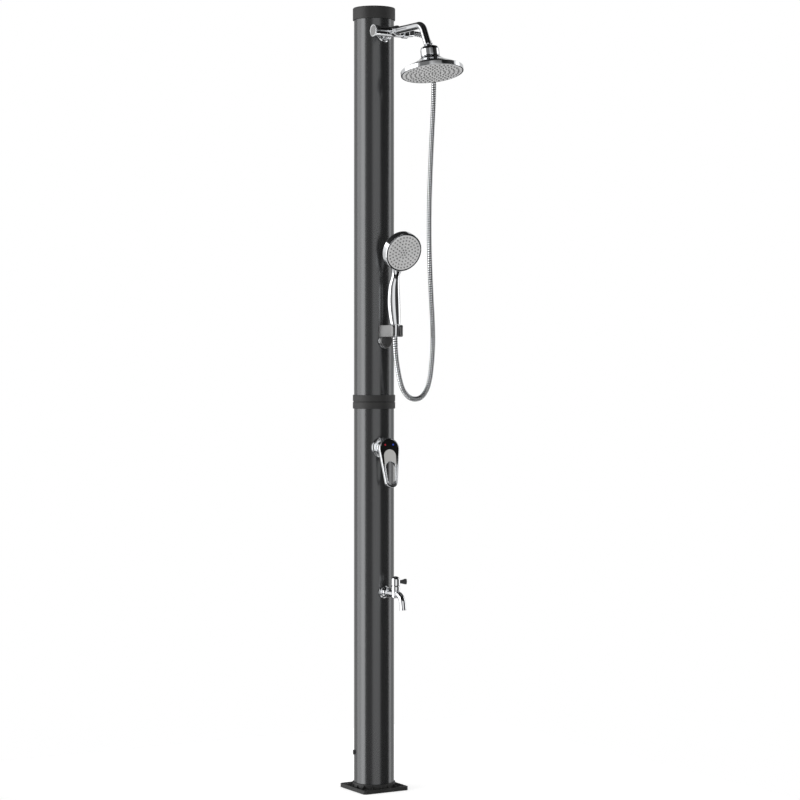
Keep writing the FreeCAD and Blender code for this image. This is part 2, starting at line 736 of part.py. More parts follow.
def hot_pipe():
    foot = MIXER_Z + BLOCK_HEIGHT / 2 + SNUG
    return ring(PIPE_R, PIPE_BORE_R, POST_TOP - HOT_TOP_DOWN - foot, HOT + at_height(foot))


def clip_heights():
    highest = DIVERTER_Z - CLIP_DOWN
    heights = [MIXER_Z + CLIP_START]
    while heights[-1] + CLIP_PITCH < highest - CLIP_PITCH / 2:
        heights.append(heights[-1] + CLIP_PITCH)
    return heights + [highest]


def pipe_clips():
    clips = []
    for z in clip_heights():
        back, front = -(HOT_OUT - PIPE_R - CLIP_WALL), -(FEED_OUT + PIPE_R + CLIP_WALL)
        half = PIPE_R + CLIP_WALL
        clip = swung(box((-half, half), (front, back), (z, z + CLIP_THICK)), MIXER_TURN)
        clips.append(clip.cut([rod(PIPE_R + SNUG, CLIP_THICK, p + at_height(z)) for p in (FEED, HOT)]))
    return grouped(clips)


def mixer_block():
    """The valve block behind the mixer, which joins the cold, hot and mixed pipes to its shank."""
    low, high = MIXER_Z - BLOCK_HEIGHT / 2, MIXER_Z + BLOCK_HEIGHT / 2
    half = BLOCK_WIDTH / 2
    block = swung(box((-half, half), (-SHANK_END + SNUG, -BLOCK_BACK), (low, high)), MIXER_TURN)
    upright = rod(PIPE_BORE_R, BLOCK_HEIGHT, FEED + at_height(low))
    hot = rod(PIPE_BORE_R, BLOCK_HEIGHT / 2, HOT + at_height(MIXER_Z))
    across = rod(PIPE_BORE_R, SHANK_END - HOT_OUT, out_from(MIXER_Z, MIXER_FRONT, HOT_OUT), MIXER_FRONT)
    return block.cut([upright, hot, across])


def back_nuts():
    nuts = []
    for height, direction in SHANKS:
        start = out_from(height, direction, TUBE_BORE_R - NUT_THICK - 1.5)
        nut = hexagon(NUT_ACROSS, NUT_THICK + 3, start, direction)
        nut = nut.common(rod(TUBE_BORE_R - RUNNING, POST_TOP))
        nuts.append(nut.cut(rod(SHANK_R + SNUG, TUBE_R, at_height(height), direction)))
    return grouped(nuts)


# ---------------------------------------------------------------- flanges of the front fittings


def front_flange(height, direction, radius, out, step):
    """A round rosette that sits on the post: a broad rim, then a rounded step up to its face."""
    return off_post(
        lathe(
            (0, TUBE_R / 2),
            (radius, TUBE_R / 2),
            (radius, out - step),
            ((radius - step * 0.3, out - step * 0.3), (radius - step, out)),
            (0, out),
            start=at_height(height),
            direction=direction,
        ),
        GASKET,
    ).cut(rod(SHANK_R + SNUG, out, at_height(height), direction))


def front_gasket(height, direction, radius):
    disc = ring(radius, SHANK_R + SNUG, TUBE_R * 2, out_from(height, direction, TUBE_R / 2), direction)
    return off_post(disc.common(rod(TUBE_R + GASKET, POST_TOP)))


# ---------------------------------------------------------------- mixer


def along_mixer(distance):
    return out_from(MIXER_Z, MIXER_FRONT, distance)


def mixer_body():
    length = MIXER_BODY_OUT - FLANGE_OUT
    barrel = rod(MIXER_BODY_R, length, along_mixer(FLANGE_OUT), MIXER_FRONT)
    chamber = rod(MIXER_CHAMBER_R, length, along_mixer(FLANGE_OUT + CHAMBER_FLOOR), MIXER_FRONT)
    body = joined([barrel, shank(MIXER_Z, MIXER_FRONT, FLANGE_OUT + 1)])
    return body.cut([chamber, shank_bore(MIXER_Z, MIXER_FRONT, MIXER_BODY_OUT)])


def mixer_cartridge():
    start = FLANGE_OUT + CHAMBER_FLOOR + SNUG
    disc = rod(MIXER_CHAMBER_R - SNUG, MIXER_BODY_OUT - SNUG - start, along_mixer(start), MIXER_FRONT)
    hollow = Part.makeSphere(LEVER_BALL_R + SEAT_GAP, along_mixer(LEVER_PIVOT_OUT))
    bore = rod(SPINDLE_R + RUNNING, MIXER_BODY_OUT - start, along_mixer(start), MIXER_FRONT)
    return disc.cut([hollow, bore])


def mixer_cover():
    """The dome nut that holds the cartridge, with a hollow for the lever's ball."""
    rise = MIXER_COVER_OUT - MIXER_BODY_OUT
    dome = lathe(
        (0, 0),
        (MIXER_BODY_R, 0),
        (MIXER_BODY_R, 0.8),
        (MIXER_COVER_R, rise),
        (0, rise),
        start=along_mixer(MIXER_BODY_OUT),
        direction=MIXER_FRONT,
    )
    return dome.cut(Part.makeSphere(LEVER_BALL_R + SEAT_GAP, along_mixer(LEVER_PIVOT_OUT)))


def mixer_spindle():
    """The ball that carries the lever, on the spindle that turns in the cartridge."""
    ball = Part.makeSphere(LEVER_BALL_R, along_mixer(LEVER_PIVOT_OUT))
    start = FLANGE_OUT + 2 * CHAMBER_FLOOR
    return ball.fuse(rod(SPINDLE_R, LEVER_PIVOT_OUT - start, along_mixer(start), MIXER_FRONT))


def on_lever(shape, depth):
    """A plate made in XY, put on the lever: Y runs up it, and Z out from its back face by depth."""
    standing = placed(shape, Vec(0, -(LEVER_BACK_OUT + depth), 0), FRONT)
    hub = Vec(0, -LEVER_PIVOT_OUT, 0)
    return swung(swung(standing, -LEVER_LEAN, RIGHT, hub), MIXER_TURN).translated(at_height(MIXER_Z))


def inset_plate(margin):
    """The dark panel's outline around the top of the lever, less the tongue that rises into it."""
    full = loop_plate(
        LEVER_TOP_R - INSET_MARGIN - margin, LEVER_TOP_UP, INSET_END_R - margin, INSET_END_UP, INSET_DEPTH
    )
    tongue = loop_plate(
        TONGUE_R + margin, TONGUE_UP, WINDOW_TOP_R + INSET_MARGIN + margin, WINDOW_TOP_UP, INSET_DEPTH
    )
    return full.cut(tongue)


def lever_frame():
    plate = loop_plate(LEVER_TOP_R, LEVER_TOP_UP, LEVER_END_R, LEVER_END_UP, LEVER_THICK)
    window = loop_plate(WINDOW_TOP_R, WINDOW_TOP_UP, WINDOW_END_R, WINDOW_END_UP, LEVER_THICK)
    rims = [e for e in plate.Edges if e.BoundBox.ZLength < 1e-6]
    recess = inset_plate(0).translated(Vec(0, 0, LEVER_THICK - INSET_DEPTH))
    plate = plate.makeFillet(LEVER_ROUND, rims).cut([window, recess])
    socket = Part.makeSphere(LEVER_BALL_R + RUNNING, along_mixer(LEVER_PIVOT_OUT))
    return on_lever(plate, 0).cut([socket, lever_screw_rod(SNUG)])


def lever_screw_rod(gap):
    """The grub screw in the lever's back, beside the ball."""
    screw = rod(LEVER_SCREW_R + gap, LEVER_THICK - INSET_DEPTH - 2 + gap, Vec(0, -22, 0))
    return on_lever(screw, 0)


def lever_screw():
    return lever_screw_rod(0)


def lever_inset():
    return on_lever(inset_plate(SNUG), LEVER_THICK - INSET_DEPTH)


def lever_mark(side):
    disc = rod(MARK_R, MARK_PROUD, Vec(side * MARK_SIDE, MARK_UP, 0))
    return on_lever(disc, LEVER_THICK)


# ---------------------------------------------------------------- diverter


def across_diverter(x):
    return DIVERTER_CENTRE + RIGHT * x


def diverter_body():
    """A stem from the post, a barrel across it, a threaded outlet each for the arm and the hose."""
    stem_start = FLANGE_OUT
    stem = rod(DIVERTER_STEM_R, DIVERTER_OUT - stem_start, out_from(DIVERTER_Z, FRONT, stem_start), FRONT)
    barrel = rod(DIVERTER_R, DIVERTER_LEFT + DIVERTER_RIGHT, across_diverter(-DIVERTER_LEFT), RIGHT)
    hose_outlet = rod(OUTLET_R, OUTLET_END, DIVERTER_CENTRE, RIGHT)
    arm_outlet = rod(OUTLET_R, ARM_START_OUT - SNUG - DIVERTER_OUT, DIVERTER_CENTRE, FRONT)
    body = joined([shank(DIVERTER_Z, FRONT, stem_start + 1), stem, barrel, hose_outlet, arm_outlet])
    bores = [
        rod(SHANK_BORE_R, DIVERTER_OUT - SHANK_END, out_from(DIVERTER_Z, FRONT, SHANK_END), FRONT),
        rod(OUTLET_BORE_R, ARM_START_OUT, DIVERTER_CENTRE, FRONT),
        rod(OUTLET_BORE_R, HOSE_START_OUT, DIVERTER_CENTRE, RIGHT),
        rod(SPOOL_R + RUNNING, DIVERTER_LEFT + SPOOL_RIGHT + 1, across_diverter(-DIVERTER_LEFT), RIGHT),
    ]
    return body.cut(bores)


def diverter_spool():
    """The valve's spool, cut away on one side, with a spindle end inside the knob."""
    length = DIVERTER_LEFT + SPOOL_RIGHT + KNOB_SOCKET
    spool = rod(SPOOL_R, length, across_diverter(-DIVERTER_LEFT - KNOB_SOCKET), RIGHT)
    port = rod(SPOOL_R * 0.6, SPOOL_R * 2, DIVERTER_CENTRE + BACK * SPOOL_R, FRONT)
    return spool.cut(port)


def diverter_knob():
    """A knob that widens towards its end and closes with a flat disc."""
    length = KNOB_END - DIVERTER_LEFT - SEAT_GAP
    knob = lathe(
        (0, 0),
        (DIVERTER_R - 0.4, 0),
        (DIVERTER_R, 0.6),
        (KNOB_NECK_R, length * 0.35),
        (KNOB_DISC_R - 0.8, length - KNOB_DISC),
        (KNOB_DISC_R, length - KNOB_DISC),
        (KNOB_DISC_R, length - 0.7),
        (KNOB_DISC_R - 0.7, length),
        (0, length),
        start=across_diverter(-DIVERTER_LEFT - SEAT_GAP),
        direction=LEFT,
    )
    return knob.cut(rod(SPOOL_R + SNUG, KNOB_SOCKET + SNUG, across_diverter(-DIVERTER_LEFT), LEFT))


# ---------------------------------------------------------------- arm and overhead shower


def arm_wire():
    start = out_from(DIVERTER_Z, FRONT, ARM_START_OUT)
    end = BALL_CENTRE - ARM_DOWN * BALL_NECK
    return rounded_path([start, ARM_CORNER, end], [ARM_BEND_R])


def shower_arm():
    wire = arm_wire()
    return tube_along(wire, ARM_R).cut(tube_along(wire, ARM_BORE_R))


def arm_nut():
    """The union nut that holds the arm on the diverter."""
    start = ARM_START_OUT - ARM_NUT * 0.4
    nut = rod(ARM_NUT_R, ARM_NUT, out_from(DIVERTER_Z, FRONT, start), FRONT)
    nut = nut.makeChamfer(1.2, [e for e in nut.Edges if e.Length > ARM_NUT_R and e.BoundBox.YLength < 1e-6])
    wide = rod(OUTLET_R + SNUG, ARM_START_OUT - start + 0.5, out_from(DIVERTER_Z, FRONT, start), FRONT)
    return nut.cut([wide, rod(ARM_R + SNUG, ARM_NUT, out_from(DIVERTER_Z, FRONT, start), FRONT)])


def arm_ball():
    """The ball that the overhead shower tilts on, with its neck up to the arm's end."""
    up_arm = ARM_DOWN * -1
    ball = Part.makeSphere(BALL_R, BALL_CENTRE)
    neck = rod(BALL_NECK_R, BALL_NECK - SNUG, BALL_CENTRE, up_arm)
    tail = rod(ARM_BORE_R - SNUG, BALL_NECK + 8, BALL_CENTRE, up_arm)
    bore = rod(BALL_BORE_R, BALL_NECK + 8 + BALL_R, BALL_CENTRE - up_arm * BALL_R, up_arm)
    return joined([ball, neck, tail]).cut(bore)


def on_head(*steps):
    """A turned piece of the overhead shower: heights are measured up its axis from the ball."""
    return lathe(*steps, start=BALL_CENTRE, direction=HEAD_UP)


def head_rod(radius, low, high):
    return rod(radius, high - low, BALL_CENTRE + HEAD_UP * low, HEAD_UP)


def head_seat():
    """The bearing ring around the ball."""
    body = head_rod(HEAD_SEAT_R, HEAD_SEAT_FOOT, HEAD_SEAT_TOP)
    return body.cut(Part.makeSphere(BALL_R + RUNNING, BALL_CENTRE))


def head_nut():
    """The large nut that holds the bearing ring down on the shower's neck."""
    body = on_head(
        (HEAD_NUT_MOUTH_R, HEAD_SEAT_TOP),
        (HEAD_NUT_MOUTH_R, HEAD_NUT_TOP),
        (HEAD_NUT_R - 6, HEAD_NUT_TOP),
        ((HEAD_NUT_R - 1.5, HEAD_NUT_TOP - 3), (HEAD_NUT_R, HEAD_NUT_TOP - 9)),
        (HEAD_NUT_R, HEAD_NUT_FOOT + 1),
        (HEAD_NUT_R - 1, HEAD_NUT_FOOT),
        (HEAD_NECK_R, HEAD_NUT_FOOT),
        (HEAD_NECK_R, HEAD_SEAT_TOP),
    )
    lower = head_rod(HEAD_NECK_R + SNUG, HEAD_NUT_FOOT, HEAD_SEAT_FOOT)
    upper = head_rod(HEAD_SEAT_R + RUNNING, HEAD_SEAT_FOOT, HEAD_SEAT_TOP + RUNNING)
    filler = head_rod(HEAD_NECK_R + 1, HEAD_SEAT_FOOT, HEAD_SEAT_TOP + 1)
    mouth = head_rod(HEAD_NUT_MOUTH_R, HEAD_SEAT_FOOT, HEAD_NUT_TOP)
    return joined([body, filler]).cut([lower, upper, mouth])


def head_shell():
    """The overhead shower's bell: a flat rim, a low dome and a threaded neck."""
    rim_top = HEAD_FACE + HEAD_RIM
    shoulder = HEAD_NUT_FOOT - 3
    wall = HEAD_WALL
    return on_head(
        (HEAD_R, HEAD_FACE + 1),
        (HEAD_R, rim_top - 2),
        ((HEAD_R - 1, rim_top), (HEAD_R - 4, rim_top + 1.2)),
        ((HEAD_R * 0.62, rim_top + 12.5), (HEAD_NUT_R + 5, shoulder - 5)),
        ((HEAD_NUT_R + 1, shoulder - 2), (HEAD_NUT_R - 1, shoulder)),
        (HEAD_NUT_R - 1, HEAD_NUT_FOOT - SNUG),
        (HEAD_NECK_R, HEAD_NUT_FOOT - SNUG),
        (HEAD_NECK_R, HEAD_SEAT_FOOT - SNUG),
        (HEAD_NECK_BORE_R, HEAD_SEAT_FOOT - SNUG),
        (HEAD_NECK_BORE_R, shoulder - 6),
        (HEAD_NUT_R + 4, shoulder - 5 - wall * 1.2),
        ((HEAD_R * 0.62, rim_top + 12.5 - wall), (HEAD_R - 5, rim_top + 1.2 - wall)),
        (HEAD_R - wall, rim_top - 3),
        (HEAD_R - wall, HEAD_FACE + HEAD_LIP + FACE_THICK),
        (HEAD_R - wall - HEAD_LIP_WIDE, HEAD_FACE + HEAD_LIP + FACE_THICK),
        (HEAD_R - wall - HEAD_LIP_WIDE, HEAD_FACE),
        (HEAD_R - 1, HEAD_FACE),
    )


def spray_face(radius, thick, rings, hole_r):
    """A disc with a hole for each nozzle, made about +Z with its outer side at zero."""
    disc = rod(radius, thick)
    return disc.cut([rod(hole_r, thick, spot) for spot in spots_on_rings(rings)])


def nozzle_mat(radius, face_thick, rings):
    """A rubber mat behind the face, with a nozzle through each hole."""
    nozzles = [
        Part.makeCone(
            NOZZLE_TIP_R, NOZZLE_R, face_thick + NOZZLE_PROUD + 0.2, spot - Vec(0, 0, NOZZLE_PROUD), UP
        )
        for spot in spots_on_rings(rings)
    ]
    return rod(radius, MAT_THICK, at_height(face_thick + SNUG)).multiFuse(nozzles)


def head_face():
    radius = HEAD_R - HEAD_WALL - HEAD_LIP_WIDE - SNUG
    disc = spray_face(radius, FACE_THICK, HEAD_NOZZLE_RINGS, NOZZLE_R + SNUG)
    return placed(disc, BALL_CENTRE + HEAD_UP * HEAD_FACE, HEAD_UP)


def head_nozzles():
    mat = nozzle_mat(HEAD_R - HEAD_WALL - HEAD_LIP_WIDE - 2, FACE_THICK, HEAD_NOZZLE_RINGS)
    return placed(mat, BALL_CENTRE + HEAD_UP * HEAD_FACE, HEAD_UP)


# ---------------------------------------------------------------- hand shower and cradle


def grip_loft(shrink):
    """The grip through its sections, each an ellipse less the wall."""
    wires = []
    for forward, up, lean, wide, deep in GRIP_SECTIONS:
        ellipse = Part.Wire(Part.Ellipse(ORIGIN, wide - shrink, deep - shrink).toShape())
        ellipse.rotate(ORIGIN, RIGHT, lean)
        wires.append(ellipse.translated(CRADLE_SEAT + FRONT * forward + UP * up))
    return Part.makeLoft(wires, True, False)


def hand_head(*steps):
    """A turned piece of the hand shower's head. Heights run back from its face."""
    return lathe(*steps, start=HAND_CENTRE, direction=HAND_FACING * -1)


def handset_shell():
    """The grip and the round head in one, hollow, with a threaded stub at the foot."""
    wall = HAND_WALL
    outside = hand_head(
        (0, 0),
        (HAND_R - 1.5, 0),
        ((HAND_R - 0.3, 1.2), (HAND_R, 3)),
        (HAND_R, HAND_RIM),
        ((HAND_R * 0.74, HAND_DEPTH * 0.84), (CROWN_FLAT_R, HAND_DEPTH)),
        (0, HAND_DEPTH),
    )
    inside = hand_head(
        (0, wall + 3),
        (HAND_R - wall, wall + 3),
        (HAND_R - wall, HAND_RIM - 1),
        ((HAND_R * 0.74 - 1, HAND_DEPTH * 0.84 - wall), (CROWN_FLAT_R, HAND_DEPTH - wall)),
        (0, HAND_DEPTH - wall),
    )
    forward, up = GRIP_SECTIONS[0][:2]
    foot = CRADLE_SEAT + FRONT * forward + UP * up
    stub = rod(GRIP_STUB_R, GRIP_STUB + 2, foot + DOWN * GRIP_STUB)
    bore = rod(GRIP_BORE_R, GRIP_STUB + 6, foot + DOWN * GRIP_STUB)
    body = joined([outside, grip_loft(0), stub])
    seat = hand_head((0, -1), (HAND_FACE_R + SNUG, -1), (HAND_FACE_R + SNUG, wall + 4), (0, wall + 4))
    before = hand_head((0, -HAND_R), (HAND_R, -HAND_R), (HAND_R, 0), (0, 0))
    return body.cut([grip_hollow(), inside, bore, seat, before])


def grip_hollow():
    """The water way in the grip: the loft less the wall, between its foot and the head."""
    hollow = grip_loft(HAND_WALL)
    foot_z = CRADLE_Z + GRIP_SECTIONS[0][1]
    size = 4 * HAND_R
    return hollow.common(box((-size, size), (-2 * size, 0), (foot_z + HAND_WALL, HAND_Z)))


def handset_face():
    disc = spray_face(HAND_FACE_R, FACE_THICK, HAND_NOZZLE_RINGS, NOZZLE_R + SNUG)
    return placed(disc, HAND_CENTRE + HAND_FACING * HAND_FACE_PROUD, HAND_FACING * -1)


def handset_nozzles():
    mat = nozzle_mat(HAND_FACE_R - 1, FACE_THICK, HAND_NOZZLE_RINGS)
    return placed(mat, HAND_CENTRE + HAND_FACING * HAND_FACE_PROUD, HAND_FACING * -1)


def hose_cone():
    """The conical nut on the hose's lower end, screwed on the grip's stub."""
    start = CRADLE_SEAT
    stub_foot = GRIP_SECTIONS[0][1] - GRIP_STUB
    body = lathe(
        (0, 0),
        (CONE_FOOT_R, 0),
        (CONE_TOP_R, CONE_HEIGHT),
        (0, CONE_HEIGHT),
        start=start,
    )
    bores = [
        rod(GRIP_STUB_R + SNUG, CONE_HEIGHT, start + UP * (stub_foot - SNUG)),
        rod(HOSE_BORE_R, CONE_HEIGHT, start),
    ]
    return body.cut(bores)


def hose_nut():
    """The nut and ferrule on the hose's upper end."""
    nut_start = DIVERTER_RIGHT + 3
    length = HOSE_START_OUT - nut_start
    body = lathe(
        (0, 0),
        (HOSE_NUT_R - 1, 0),
        (HOSE_NUT_R, 1),
        (HOSE_NUT_R, HOSE_NUT - 1),
        (HOSE_NUT_R - 1, HOSE_NUT),
        (HOSE_FERRULE_R + 1.5, HOSE_NUT),
        (HOSE_FERRULE_R, length),
        (0, length),
        start=across_diverter(nut_start),
        direction=RIGHT,
    )
    bores = [
        rod(OUTLET_R + SNUG, OUTLET_END + SNUG - nut_start, across_diverter(nut_start), RIGHT),
        rod(HOSE_BORE_R, length, across_diverter(nut_start), RIGHT),
    ]
    return body.cut(bores)


def screw_heights():
    middle = CRADLE_Z + ROSETTE_UP
    return (middle - ROSETTE_SCREW_UP, middle + ROSETTE_SCREW_UP)


def holder_base():
    """The saddle that the cradle's screws hold on the post."""
    disc = off_post(rod(ROSETTE_R, ROSETTE_BACK_OUT, at_height(CRADLE_Z + ROSETTE_UP), FRONT))
    disc = disc.cut(rod(ROSETTE_R, ROSETTE_BACK_OUT, at_height(CRADLE_Z + ROSETTE_UP), BACK))
    holes = []
    for z in screw_heights():
        holes.append(rod(SCREW_R + SNUG, ROSETTE_BACK_OUT, at_height(z), FRONT))
        seat = ROSETTE_BACK_OUT - SCREW_HEAD - SNUG
        holes.append(rod(SCREW_HEAD_R + SNUG, ROSETTE_BACK_OUT, out_from(z, FRONT, seat), FRONT))
    return disc.cut(holes)


def holder_screws():
    screws = []
    for z in screw_heights():
        seat = ROSETTE_BACK_OUT - SCREW_HEAD
        stem = rod(SCREW_R, seat - SCREW_END, out_from(z, FRONT, SCREW_END), FRONT)
        screws.append(stem.fuse(rod(SCREW_HEAD_R, SCREW_HEAD, out_from(z, FRONT, seat), FRONT)))
    return grouped(screws)


def cradle_side():
    """The cradle's outline from the side, with its two front corners rounded, across its whole width."""
    side = box((-CRADLE_HALF, CRADLE_HALF), (-CRADLE_FRONT_OUT, 0), (CRADLE_Z, CRADLE_Z + CRADLE_HEIGHT))
    nose = [
        e
        for e in side.Edges
        if e.BoundBox.XLength > CRADLE_HALF and e.BoundBox.YMin < -CRADLE_FRONT_OUT + 1
    ]
    return side.makeFillet(CRADLE_NOSE, nose)


def holder_cradle():
    """A block with a tapered seat that opens to the front, over a round cover for the screws."""
    top = CRADLE_Z + CRADLE_HEIGHT
    block = box((-CRADLE_HALF, CRADLE_HALF), (-CRADLE_FRONT_OUT, -TUBE_R / 2), (CRADLE_Z, top))
    front = [
        e
        for e in block.Edges
        if abs(e.BoundBox.ZLength - CRADLE_HEIGHT) < 1e-6 and e.BoundBox.YMin < -CRADLE_FRONT_OUT + 1
    ]
    block = block.makeFillet(CRADLE_ROUND, front)
    foot = [
        e
        for e in block.Edges
        if e.BoundBox.ZMax < CRADLE_Z + 1e-6 and abs(abs(e.CenterOfMass.x) - CRADLE_HALF) < 1e-3
    ]
    block = off_post(block.makeFillet(CRADLE_CORNER, foot), SNUG).common(cradle_side())
    cover_start = out_from(CRADLE_Z + ROSETTE_UP, FRONT, ROSETTE_BACK_OUT + SNUG)
    cover = rod(ROSETTE_R, ROSETTE_OUT - ROSETTE_BACK_OUT - SNUG, cover_start, FRONT)
    base = rod(ROSETTE_R + SNUG, ROSETTE_BACK_OUT + SNUG, at_height(CRADLE_Z + ROSETTE_UP), FRONT)
    seat = Part.makeCone(
        CONE_FOOT_R + SEAT_GAP,
        CONE_TOP_R + SEAT_GAP + (CONE_TOP_R - CONE_FOOT_R) / CONE_HEIGHT * (CRADLE_HEIGHT - CONE_HEIGHT),
        CRADLE_HEIGHT,
        HOSE_END,
        UP,
    )
    slot = box((-CRADLE_SLOT / 2, CRADLE_SLOT / 2), (-CRADLE_FRONT_OUT, -CRADLE_OUT), (CRADLE_Z, top))
    return joined([block.cut(base), cover]).cut([seat, slot])


# ---------------------------------------------------------------- hose


def hose_corners():
    return [Vec(*point) for point in HOSE_ROUTE]


def steady_circle(wire_edge, parameter, radius):
    """A circle across the hose whose X axis always leans the same way, towards the post."""
    centre = wire_edge.valueAt(parameter)
    along = wire_edge.tangentAt(parameter)
    towards = BACK - along * BACK.dot(along)
    circle = Part.Circle(centre, along, radius)
    circle.XAxis = towards.normalize()
    return Part.Wire(circle.toShape())


def hose_stations(wire, lengths):
    """For each length along the wire, its edge and the parameter on it."""
    edges = wire.OrderedEdges
    found, number, passed = [], 0, 0.0
    for length in lengths:
        while number < len(edges) - 1 and length > passed + edges[number].Length:
            passed += edges[number].Length
            number += 1
        edge = edges[number]
        within = min(max(length - passed, 0.0), edge.Length)
        found.append((edge, edge.getParameterByLength(within)))
    return found


def ribbed_hose():
    """The hose: a plain diameter at each end, ribs between, and its bore."""
    wire = rounded_path(hose_corners(), corner_radii(hose_corners()))
    plain = 2 * HOSE_R
    pitch = (wire.Length - 2 * plain) / HOSE_RIBS
    shares = ((0.0, HOSE_ROOT_R), (0.3, HOSE_ROOT_R), (0.45, HOSE_R), (0.85, HOSE_R))
    lengths, radii = [0.0], [HOSE_ROOT_R]
    for k in range(HOSE_RIBS):
        for share, radius in shares:
            lengths.append(plain + (k + share) * pitch)
            radii.append(radius)
    lengths += [wire.Length - plain, wire.Length]
    radii += [HOSE_ROOT_R, HOSE_ROOT_R]
    stations = hose_stations(wire, lengths)
    outer = Part.makeLoft([steady_circle(e, p, r) for (e, p), r in zip(stations, radii)], True, True)
    bore_lengths = lengths[:1] + lengths[1:-1:4] + lengths[-1:]
    bore = Part.makeLoft(
        [steady_circle(e, p, HOSE_BORE_R) for e, p in hose_stations(wire, bore_lengths)], True, True
    )
    return outer.cut(bore), wire


def least_self_gap(wire):
    """The least clear space between stretches of the hose that are well apart along it."""
    step = HOSE_R / 2
    count = int(wire.Length / step)
    points = [e.valueAt(p) for e, p in hose_stations(wire, [k * step for k in range(count)])]
    apart = int(8 * HOSE_R / step)
    return min(
        points[i].distanceToPoint(points[j])
        for i in range(0, count)
        for j in range(i + apart, count)
    ) - 2 * HOSE_R


# ---------------------------------------------------------------- foot tap


def along_tap(distance):
    return out_from(TAP_Z, FRONT, distance)


def spout_wire():
    lean = math.radians(SPOUT_LEAN)
    down = Vec(0, -math.sin(lean), -math.cos(lean))
    drop = SPOUT_DROP / math.cos(lean)
    corner = SPOUT_END - down * drop
    return rounded_path([TAP_CENTRE, corner, SPOUT_END], [SPOUT_BEND_R])


def tap_body():
    """The barrel from the flange, the valve chamber across it and the curved spout."""
    barrel = rod(TAP_BARREL_R, TAP_OUT - TAP_FLANGE_OUT, along_tap(TAP_FLANGE_OUT), FRONT)
    band = hexagon(TAP_RING_R * 2, TAP_RING, along_tap(TAP_RING_OUT), FRONT)
    chamber_foot = TAP_CENTRE + UP * TAP_CHAMBER_FOOT
    chamber = rod(TAP_CHAMBER_R, TAP_CHAMBER_TOP - TAP_CHAMBER_FOOT, chamber_foot)
    chamber = chamber.makeFillet(
        3.0, [e for e in chamber.Edges if e.BoundBox.ZMax < chamber_foot.z + 1e-6 and e.Length > 1]
    )
    wire = spout_wire()
    spout = tube_along(wire, SPOUT_R)
    body = joined([shank(TAP_Z, FRONT, TAP_FLANGE_OUT + 1), barrel, band, chamber, spout])
    bores = [
        shank_bore(TAP_Z, FRONT, TAP_OUT),
        rod(TAP_CHAMBER_BORE_R, TAP_CHAMBER_TOP - TAP_CHAMBER_FOOT, chamber_foot + UP * 3),
        tube_along(wire, SPOUT_BORE_R),
    ]
    return body.cut(bores)


def tap_aerator():
    """The strainer in the spout's mouth."""
    lean = math.radians(SPOUT_LEAN)
    inward = Vec(0, math.sin(lean), math.cos(lean))
    disc = spray_face(SPOUT_BORE_R - SNUG, 4.0, ((2.4, 5), (4.7, 9)), 0.8)
    return placed(disc, SPOUT_END + inward * 0.8, inward)


def tap_bonnet():
    """The screwed collar over the valve chamber that the spindle turns in."""
    height = TAP_BONNET_TOP - TAP_CHAMBER_TOP
    body = lathe(
        (0, 0),
        (TAP_BONNET_R, 0),
        (TAP_BONNET_R, height - 2),
        (TAP_BONNET_R - 1, height),
        (0, height),
        start=TAP_CENTRE + UP * TAP_CHAMBER_TOP,
    )
    return body.cut(rod(TAP_SPINDLE_R + RUNNING, height, TAP_CENTRE + UP * TAP_CHAMBER_TOP))


def tap_spindle():
    """The valve's spindle with its ceramic head inside the chamber."""
    head_top = TAP_CHAMBER_TOP - SEAT_GAP
    head = rod(TAP_SPINDLE_HEAD_R, 6, TAP_CENTRE + UP * (head_top - 6))
    top = TAP_BONNET_TOP + 10
    return head.fuse(rod(TAP_SPINDLE_R, top - head_top + 1, TAP_CENTRE + UP * (head_top - 1)))


def tap_handle():
    """A domed hub with a paddle that widens to its end."""
    foot = TAP_BONNET_TOP + SEAT_GAP
    height = TAP_HUB_TOP - foot
    hub = lathe(
        (0, 0),
        (TAP_HUB_R, 0),
        (TAP_HUB_R, height - TAP_HUB_R * 0.8),
        ((TAP_HUB_R * 0.75, height - TAP_HUB_R * 0.22), (CROWN_FLAT_R, height)),
        (0, height),
        start=TAP_CENTRE + UP * foot,
    )
    root, flare = TAP_PADDLE_ROOT / 2, TAP_PADDLE_FLARE / 2
    paddle = outline(
        (0, root),
        (TAP_HUB_R + 4, root),
        (TAP_PADDLE_END - 5, flare - 1),
        ((TAP_PADDLE_END - 2.5, flare), (TAP_PADDLE_END, flare - 3)),
        ((TAP_PADDLE_END + 0.8, 0), (TAP_PADDLE_END, -flare + 3)),
        ((TAP_PADDLE_END - 2.5, -flare), (TAP_PADDLE_END - 5, -flare + 1)),
        (TAP_HUB_R + 4, -root),
        (0, -root),
    )
    paddle = paddle.extrude(Vec(0, TAP_PADDLE_THICK, 0)).translated(
        Vec(0, -TAP_OUT - TAP_PADDLE_THICK / 2, TAP_Z + TAP_PADDLE_UP)
    )
    socket = rod(TAP_SPINDLE_R + SNUG, TAP_BONNET_TOP + 10 + SNUG - foot, TAP_CENTRE + UP * foot)
    return joined([hub, paddle]).cut(socket)


# ---------------------------------------------------------------- every piece

